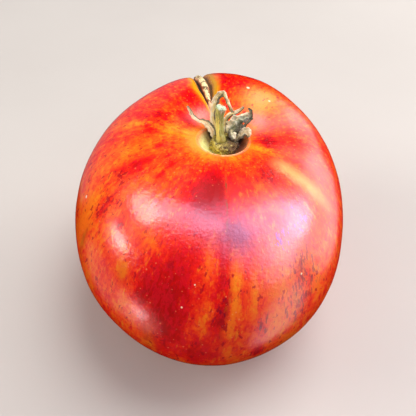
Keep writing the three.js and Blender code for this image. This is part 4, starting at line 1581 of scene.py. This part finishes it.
class Calyx:
    """The dried calyx: a lumpy collar round the stem, and crumpled sepals on their routes."""

    name = "tomato_calyx"
    stem_place: tuple[float, float] = (-0.7, 0.6)
    collar_place: tuple[float, float] = (0.35, 0.5)
    bore: float = 1.75
    radius: float = 4.3
    height: float = 3.9
    over_skin: float = 0.25
    out_shares: tuple[float, ...] = (0.0, 0.45, 0.78, 1.0, 0.93, 0.66, 0.14, 0.0)
    up_shares: tuple[float, ...] = (0.0, 0.0, 0.02, 0.16, 0.68, 0.93, 1.0, 0.9)
    front_cut: float = 0.15
    front_degrees: float = -115
    bottom_share: float = 0.3
    hollow_depth: float = 1.6
    hollow_radius: float = 1.1
    # Dents in the collar, over the pit's floor; the calyx's finish paints shadow round them.
    shadowed_hollows: tuple[tuple[float, float, float], ...] = ((-3.2, 3.2, 3.0), (3.5, 1.5, 3.0))
    collar_tone: float = 2.0
    collar_sides: int = 150
    collar_rows: int = 44
    steps: int = 100
    strips: int = 16
    thickness: float = 0.40
    turned: float = 0.35
    vein_height: float = 0.16
    vein_width: float = 0.16

    def __init__(self, form: FruitForm, crown: Matrix) -> None:
        """Keeps the fruit's form and the place and turn of the pit's floor."""
        self.form = form
        self.crown = crown

    def _lumps(self, place: Vector, size: float, seed: float) -> float:
        """Gives soft random lumps between about minus and plus 1.

        Args:
            place: Where, in millimetres.
            size: Size of a lump in millimetres.
            seed: Which of many patterns.

        Returns:
            The height.
        """
        moved = place / size + Vector((seed, seed * 1.7, -seed))
        return noise.noise(moved) * 1.5 + noise.noise(moved * 2.3) * 0.6

    def _collar_point(self, angle: float, share: float) -> Vector:
        """Gives a point of the collar's skin.

        Args:
            angle: Angle round the stem.
            share: How far from the inner edge at the bottom, out, up and back in, from 0 to 1.

        Returns:
            The point over the pit's floor.
        """
        out, up = between(self.out_shares, share), between(self.up_shares, share)
        way = Vector((math.cos(angle), math.sin(angle), 0.0))
        inner = Vector((*self.stem_place, 0.0)) + way * self.bore
        lump = 1 + 0.05 * math.cos(6 * angle) + 0.03 * math.cos(11 * angle + 1.0)
        lump -= self.front_cut * max(math.cos(angle - math.radians(self.front_degrees)), 0.0)
        outer = Vector((*self.collar_place, 0.0)) + way * self.radius * lump
        point = inner.lerp(outer, out)
        floor = self.form.pit_height(point.x, point.y) + self.over_skin
        if share <= self.bottom_share:
            point.z = floor
            return point
        point.z = max(up * self.height, floor)
        shown = min((share - self.bottom_share) * 8, 1.0)
        ridge = 0.08 * math.cos(9 * angle + 3 * share + 3 * self._lumps(point, 2.5, 1.0))
        rough = self._lumps(point, 1.9, 4.0) * 0.34 + self._lumps(point, 0.8, 7.0) * 0.20
        for shadowed_hollow in self.shadowed_hollows:
            away = (point - Vector(shadowed_hollow)).length / self.hollow_radius
            rough -= self.hollow_depth * math.exp(-away ** 2)
        outward = (way + Vector((0.0, 0.0, 0.9))).normalized()
        return point + outward * ((ridge + rough) * shown)

    def _add_collar(self, mesh: bmesh.types.BMesh) -> None:
        """Adds the collar as a closed ring.

        Args:
            mesh: The mesh it is added to.
        """
        leaf = mesh.verts.layers.float_vector["leaf"]
        rows = []
        for row in range(self.collar_rows):
            share = row / (self.collar_rows - 1)
            ring = []
            for side in range(self.collar_sides):
                point = self._collar_point(FULL_TURN * side / self.collar_sides, share)
                vertex = mesh.verts.new(self.crown @ point)
                vertex[leaf] = (0.0, 0.0, self.collar_tone)
                ring.append(vertex)
            rows.append(ring)
        for row in range(self.collar_rows):
            below, upper = rows[row], rows[(row + 1) % self.collar_rows]
            for side in range(self.collar_sides):
                beside = (side + 1) % self.collar_sides
                mesh.faces.new((below[side], below[beside], upper[beside], upper[side]))

    def _blade_frame(self, sepal: Sepal, share: float) -> tuple[Vector, Vector, Vector]:
        """Gives the middle of a sepal at one place, its sideways way and its face.

        Args:
            sepal: The sepal.
            share: How far along it, from 0 to 1.

        Returns:
            Middle, sideways direction and outward direction.
        """
        nudge = 0.004
        middle = smooth_route(sepal.route, share)
        forward = smooth_route(sepal.route, min(share + nudge, 1.0)) \
            - smooth_route(sepal.route, max(share - nudge, 0.0))
        root = Vector((*self.stem_place, 0.0)) - Vector(sepal.route[0])
        root.z = 0.0
        turn = 1.0 if sepal.free_root else PlainMaths().soft(0.05, self.turned, share)
        face = root.normalized().lerp(Vector(sepal.face).normalized(), turn)
        side = face.cross(forward).normalized()
        return middle, side, forward.cross(side).normalized()

    def _add_sepal(self, mesh: bmesh.types.BMesh, sepal: Sepal, seed: float) -> None:
        """Adds a sepal as a closed thin blade, crumpled and folded along its length.

        Args:
            mesh: The mesh it is added to.
            sepal: The sepal.
            seed: Which of many patterns it is crumpled in.
        """
        leaf = mesh.verts.layers.float_vector["leaf"]
        upper, lower = [], []
        for step in range(self.steps + 1):
            share = step / self.steps
            middle, side, out = self._blade_frame(sepal, share)
            half = between(sepal.half_widths, share)
            rows: tuple[list, list] = ([], [])
            for strip in range(self.strips + 1):
                across = 2 * strip / self.strips - 1
                ragged = 1 + 0.22 * self._lumps(middle + side * across, 0.9, seed) * abs(across)
                pleat = math.cos(FULL_TURN * across) * math.cos(sepal.waves * math.pi * share)
                lift = sepal.fold * half * (0.6 * across * across + 0.25 * pleat)
                point = middle + side * (across * half * ragged) + out * lift
                free = min(share * 4, 1.0)
                point += out * (self._lumps(point, 1.5, seed + 9) * sepal.crumple * free)
                point += side * (self._lumps(point, 1.9, seed + 5) * sepal.crumple * 0.5 * free)
                vein = self.vein_height * math.exp(-((across / self.vein_width) ** 2)) \
                    * (1 - share)
                thin = self.thickness * math.sqrt(max(1 - across * across, 0.0))
                thin *= min((1 - share) * 12, 1.0) ** 0.5
                for sign, row in zip((0.5, -0.5), rows):
                    rise = thin * sign + (vein * 0.5 if sign > 0 else -vein)
                    end = abs(across) == 1 or share == 1
                    vertex = mesh.verts.new(self.crown @ (point + out * (0 if end else rise)))
                    vertex[leaf] = (share, across, sepal.tone.value)
                    row.append(vertex)
            upper.append(rows[0])
            lower.append(rows[1])
        for step in range(self.steps):
            for strip in range(self.strips):
                corners = ((step, strip), (step + 1, strip),
                           (step + 1, strip + 1), (step, strip + 1))
                mesh.faces.new([upper[row][column] for row, column in corners])
                mesh.faces.new([lower[row][column] for row, column in reversed(corners)])
        mesh.faces.new(upper[0] + lower[0][::-1])

    def build(self, material: bpy.types.Material) -> bpy.types.Object:
        """Makes the calyx.

        Args:
            material: Finish of the dried sepals.

        Returns:
            The piece.
        """
        mesh = bmesh.new()
        mesh.verts.layers.float_vector.new("leaf")
        self._add_collar(mesh)
        for number, sepal in enumerate(SEPALS.values()):
            self._add_sepal(mesh, sepal, 3.1 * number)
        bmesh.ops.remove_doubles(mesh, verts=mesh.verts, dist=0.0005)
        bmesh.ops.recalc_face_normals(mesh, faces=mesh.faces)
        bmesh.ops.scale(mesh, vec=(MM, MM, MM), verts=mesh.verts)
        data = bpy.data.meshes.new(self.name)
        mesh.to_mesh(data)
        mesh.free()
        data.polygons.foreach_set("use_smooth", [True] * len(data.polygons))
        data.materials.append(material)
        piece = place_piece(self.name, data)
        adopt(piece, "dried_calyx", "calyx")
        return piece


@dataclass(frozen=True)
class CalyxFinish:
    """Dried sepals: straw, beige and grey-green, veins, pale edges, dark tips, painted light and
    shade.
    """

    def build(self, crown: Matrix, shadowed_hollows: Sequence[Sequence[float]]) -> bpy.types.Material:
        """Makes the calyx's material.

        Args:
            crown: Place and turn of the pit's floor.
            shadowed_hollows: Dents of the collar over the pit's floor, round which shadow is
                painted.

        Returns:
            The material.
        """
        shader = Shader("dried_calyx")
        place = shader.place()
        share, across, tone = shader.parts(shader.attribute("leaf"))
        spots = shader.speckle(place, 850.0, 3.0, 0.65)
        cloud = shader.speckle(place, 420.0, 2.0, 0.5)
        veins = shader.speckle(shader.vector(share * 3, across * 4, tone * 9), 1.5, 3.0, 0.6)
        colour = shader.ramp(tone + (cloud - 0.5) * 0.5, [
            (0.0, paint(230, 208, 128)), (0.28, paint(236, 208, 158)),
            (0.50, paint(210, 184, 140)), (0.75, paint(170, 172, 130)),
            (1.0, paint(158, 160, 138))])
        # Painted highlights: pale flecks of near white scattered over the sepals.
        light = shader.soft(0.50, 0.60, shader.speckle(place, 560.0, 2.0, 0.5))
        colour = shader.mix(light * 0.6, colour, paint(244, 238, 210))
        colour = shader.mix(shader.soft(0.54, 0.64, veins) * 0.6, colour, paint(92, 88, 46))
        # One edge is pale cream, partly the sepal's own cream and partly painted highlight; the
        # other edge gets a dark painted shade.
        pale = shader.soft(0.20, 0.65, across + (spots - 0.5) * 0.5)
        colour = shader.mix(pale * 0.75, colour, paint(252, 236, 200))
        shaded = shader.soft(0.20, 0.5, (spots - 0.5) * 0.5 - across)
        colour = shader.mix(shaded * 0.85, colour, paint(56, 54, 26))
        colour = shader.mix(shader.soft(0.60, 0.74, spots) * 0.5, colour, paint(74, 62, 34))
        tip = shader.soft(0.84, 0.98, share + (spots - 0.5) * 0.1)
        colour = shader.mix(tip * 0.7, colour, paint(84, 74, 48))
        mound = shader.exceeds(tone, 1.5)
        # Painted light and shade: the collar is lighter at small x, where it is lit, and dark
        # olive-brown at large x.
        across_pit = shader.parts(place)[0] / MM + (cloud - 0.5) * 5.0
        base = shader.mix(shader.soft(7.5, 2.5, across_pit), paint(104, 78, 30),
                          paint(190, 172, 72))
        strands = shader.speckle(place, 760.0, 3.0, 0.7, 1.2)
        base = shader.mix(shader.soft(0.46, 0.58, strands) * 0.75, base, paint(60, 46, 14))
        base = shader.mix(shader.soft(0.56, 0.68, spots) * 0.7, base, paint(232, 224, 132))
        # Painted shadow: the collar is painted near black round each of its hollows.
        for shadowed_hollow in shadowed_hollows:
            away = shader.node("ShaderNodeVectorMath", {"operation": "DISTANCE"}, {
                0: place, 1: (crown @ Vector(shadowed_hollow)) * MM}).outputs["Value"]
            dark = shader.bell(Value(shader, away) / MM, 1.5)
            base = shader.mix(shader.clamp(dark * 1.5), base, paint(18, 12, 6))
        colour = shader.mix(mound, colour, base)
        roughness = 0.68 + (spots - 0.5) * 0.3
        return shader.cover(colour, roughness, spots * 0.6 + veins * 0.6, 0.16, {
            "Specular IOR Level": 0.35, "Subsurface Weight": 0.03,
            "Subsurface Radius": (0.6, 0.5, 0.2), "Subsurface Scale": 0.0006})


class Hairs:
    """Fine pale hairs on the stem and the sepals, scattered by Geometry Nodes."""

    name = "tomato_hairs"
    density: float = 5_500_000.0
    length: float = 0.62
    thickness: float = 0.022
    seed: int = 11

    def _recipe(self, material: bpy.types.Material) -> Recipe:
        """Writes the tree that scatters the hairs.

        Args:
            material: Finish of the hairs.

        Returns:
            The tree.
        """
        recipe = Recipe("calyx_hairs")
        seed = recipe.count("Seed", self.seed)
        points = recipe.node("GeometryNodeDistributePointsOnFaces", None, {
            "Mesh": recipe.source.outputs[0],
            "Density": recipe.size("Hairs on a square metre", self.density), "Seed": seed})
        thickness = recipe.size("Thickness", self.thickness * MM)
        cone = recipe.node("GeometryNodeMeshCone", {"fill_type": "TRIANGLE_FAN"}, {
            "Vertices": 3, "Radius Top": 0.0, "Radius Bottom": thickness,
            "Depth": recipe.size("Length", self.length * MM)})
        tilt = recipe.node("FunctionNodeRandomValue", {"data_type": "FLOAT_VECTOR"}, {
            "Min": (-0.55, -0.55, -0.1), "Max": (0.55, 0.55, 0.6), "Seed": seed})
        leaning = recipe.node("ShaderNodeVectorMath", {"operation": "ADD"}, {
            0: points.outputs["Normal"], 1: tilt.outputs[0]})
        turned = recipe.node("FunctionNodeAlignRotationToVector", {"axis": "Z"}, {
            "Vector": leaning.outputs[0]})
        size = recipe.node("FunctionNodeRandomValue", {"data_type": "FLOAT"},
                           {2: 0.35, 3: 1.0, "Seed": seed})
        hairs = recipe.node("GeometryNodeInstanceOnPoints", None, {
            "Points": points.outputs[0], "Instance": cone.outputs[0],
            "Rotation": turned.outputs[0], "Scale": size.outputs[1]})
        recipe.close(hairs.outputs[0], material)
        return recipe

    def build(self, carriers: Sequence[bpy.types.Object],
              material: bpy.types.Material) -> bpy.types.Object:
        """Makes the hairs.

        Args:
            carriers: The pieces that they grow on.
            material: Finish of the hairs.

        Returns:
            The piece.
        """
        joined = bmesh.new()
        for carrier in carriers:
            joined.from_mesh(carrier.data)
        ground = bpy.data.meshes.new("hair_ground")
        joined.to_mesh(ground)
        joined.free()
        piece = self._recipe(material).make(self.name, ground)
        adopt(piece, "dried_calyx")
        return piece


@dataclass(frozen=True)
class HairFinish:
    """Pale dry hairs."""

    def build(self) -> bpy.types.Material:
        """Makes the hairs' material.

        Returns:
            The material.
        """
        shader = Shader("dry_hair")
        spots = shader.speckle(shader.place(), 700.0, 2.0, 0.6)
        colour = shader.mix(spots, paint(236, 226, 190), paint(176, 158, 104))
        return shader.cover(colour, 0.5 + spots * 0.2, spots, 0.01, {"Specular IOR Level": 0.4})


class Task(Enum):
    """What a light is for: the fruit's plain light, or only the sheen on its skin."""

    FILL = "fill"
    SHEEN = "sheen"


@dataclass(frozen=True)
class Window:
    """A soft light: the way from the fruit to it, and its distance and size in metres."""

    name: str
    task: Task
    way: tuple[float, float, float]
    wide: float
    tall: float
    power: float
    colour: tuple[float, float, float]
    turn_degrees: float = 0.0
    distance: float = 0.9

    def build(self, target: Vector) -> None:
        """Hangs the light and turns it to the fruit.

        Args:
            target: The place that it looks at, in metres.
        """
        lamp = bpy.data.lights.new(self.name, "AREA")
        lamp.shape = "ELLIPSE"
        lamp.size = self.wide
        lamp.size_y = self.tall
        lamp.energy = self.power
        lamp.color = self.colour
        holder = bpy.data.objects.new(self.name, lamp)
        holder.visible_diffuse = self.task is Task.FILL
        holder.visible_glossy = self.task is Task.SHEEN
        way = Vector(self.way).normalized()
        holder.location = target + way * self.distance
        turn = Matrix.Rotation(math.radians(self.turn_degrees), 3, "Z")
        holder.rotation_euler = (way.to_track_quat("Z", "Y").to_matrix() @ turn).to_euler()
        bpy.context.scene.collection.objects.link(holder)


class Studio:
    """The pale floor, the soft lights, the room's light and the camera."""

    target: Vector = Vector((0.0, 0.0, 0.04))
    camera_place: Vector = Vector((0.0006, -0.0965, 0.1403))
    pitch_degrees: float = 47.8
    lens: float = 36.0
    sensor_width: float = 36.0
    floor_size: float = 3.0
    room_light: float = 0.40
    windows: tuple[Window, ...] = (
        Window("sky_fill", Task.FILL, (0.30, 0.25, 0.92), 0.70, 0.60, 8.0, (1.0, 0.96, 0.94)),
        Window("right_fill", Task.FILL, (0.80, 0.30, 0.45), 0.60, 0.50, 3.6, (1.0, 0.95, 0.90)),
        Window("left_fill", Task.FILL, (-0.85, 0.0, 0.45), 0.50, 0.50, 3.8, (1.0, 0.94, 0.88)),
        Window("left_sheen", Task.SHEEN, (-0.64, -0.07, 0.77), 0.35, 0.24, 2.3,
               (1.0, 0.96, 0.94), 81.0),
        Window("band_sheen", Task.SHEEN, (-0.26, -0.10, 0.96), 0.69, 0.30, 3.3,
               (0.85, 0.72, 1.0), 62.0),
        Window("plateau_sheen", Task.SHEEN, (0.48, -0.20, 0.85), 1.46, 1.02, 9.0,
               (0.78, 0.64, 1.0), -74.0),
        Window("middle_sheen", Task.SHEEN, (0.50, -0.22, 0.84), 1.06, 0.64, 4.6,
               (0.74, 0.62, 1.0), -74.0),
        Window("bright_sheen", Task.SHEEN, (0.60, -0.14, 0.79), 0.80, 0.44, 3.6,
               (0.74, 0.62, 1.0), -84.0),
        Window("core_sheen", Task.SHEEN, (0.785, -0.03, 0.62), 0.44, 0.34, 2.1,
               (0.78, 0.66, 1.0), 75.0),
        Window("slant_sheen", Task.SHEEN, (0.69, -0.54, 0.48), 0.55, 0.42, 1.9,
               (0.95, 0.80, 1.0), 79.0),
        Window("shoulder_sheen", Task.SHEEN, (0.97, 0.17, 0.185), 1.41, 1.04, 5.8,
               (1.0, 0.92, 0.95), -87.0),
        Window("side_sheen", Task.SHEEN, (0.965, 0.10, 0.20), 0.88, 0.66, 2.3,
               (1.0, 0.92, 0.95), -86.0),
        Window("crest_sheen", Task.SHEEN, (0.646, 0.718, 0.26), 0.58, 0.52, 0.9,
               (1.0, 0.95, 0.90), -84.0),
        Window("low_sheen", Task.SHEEN, (-0.945, -0.19, 0.265), 0.36, 0.13, 1.6,
               (1.0, 0.93, 0.90), 20.0),
        Window("under_sheen", Task.SHEEN, (-0.74, -0.60, -0.30), 0.17, 0.15, 0.5,
               (1.0, 0.90, 0.90)),
        Window("under_glow", Task.SHEEN, (-0.75, -0.56, -0.36), 0.45, 0.45, 0.5,
               (1.0, 0.86, 0.82)),
        Window("left_glow", Task.SHEEN, (-0.91, -0.15, -0.39), 0.66, 0.48, 0.35,
               (1.0, 0.90, 0.84)),
        Window("back_glow", Task.SHEEN, (-0.54, 0.84, 0.02), 1.21, 1.21, 0.9,
               (1.0, 0.88, 0.95)),
        Window("floor_sheen", Task.SHEEN, (0.68, -0.62, -0.39), 0.48, 0.84, 1.5,
               (1.0, 0.86, 0.90), -17.0),
    )

    def _floor(self) -> None:
        """Lays the pale floor, which the glossy skin doesn't mirror."""
        mesh = bmesh.new()
        bmesh.ops.create_grid(mesh, x_segments=1, y_segments=1, size=self.floor_size / 2)
        data = bpy.data.meshes.new("floor")
        mesh.to_mesh(data)
        mesh.free()
        shader = Shader("pale_floor")
        cloud = shader.speckle(shader.place(), 9.0, 3.0, 0.5)
        colour = shader.mix(cloud, paint(184, 180, 176), paint(194, 191, 187))
        data.materials.append(shader.cover(colour, 0.6 + cloud * 0.05, cloud, 0.01, {
            "Specular IOR Level": 0.2}))
        piece = place_piece("floor", data)
        piece.visible_glossy = False

    def _camera(self) -> None:
        """Sets up the camera at the photograph's angle."""
        camera = bpy.data.cameras.new("camera")
        camera.sensor_width = self.sensor_width
        camera.lens = self.lens
        camera.clip_start = 0.005
        camera.dof.use_dof = False
        holder = bpy.data.objects.new("camera", camera)
        holder.location = self.camera_place
        holder.rotation_euler = (math.radians(90 - self.pitch_degrees), 0.0, 0.0)
        bpy.context.scene.collection.objects.link(holder)
        bpy.context.scene.camera = holder

    def _room(self) -> None:
        """Fills the room with soft light."""
        world = bpy.data.worlds.new("room")
        world.use_nodes = True
        background = world.node_tree.nodes["Background"]
        background.inputs["Color"].default_value = (1.0, 0.97, 0.95, 1.0)
        background.inputs["Strength"].default_value = self.room_light
        world.cycles_visibility.glossy = False
        bpy.context.scene.world = world

    def build(self) -> None:
        """Makes the studio."""
        self._floor()
        self._camera()
        self._room()
        for window in self.windows:
            window.build(self.target)
        bpy.context.scene.view_settings.view_transform = "Standard"


def main() -> None:
    """Builds the tomato and the studio."""
    logging.basicConfig(level=logging.INFO, format="%(name)s: %(message)s")
    form = FruitForm()
    crack = Crack()
    crown = form.crown_frame()
    Studio().build()
    Fruit(form, crack).build(SkinFinish().build(form, crack))
    stem = Stem(StemForm(), crown).build(StemFinish().build())
    calyx = Calyx(form, crown).build(CalyxFinish().build(crown, Calyx.shadowed_hollows))
    Hairs().build((stem, calyx), HairFinish().build())


if __name__ == "__main__":
    main()
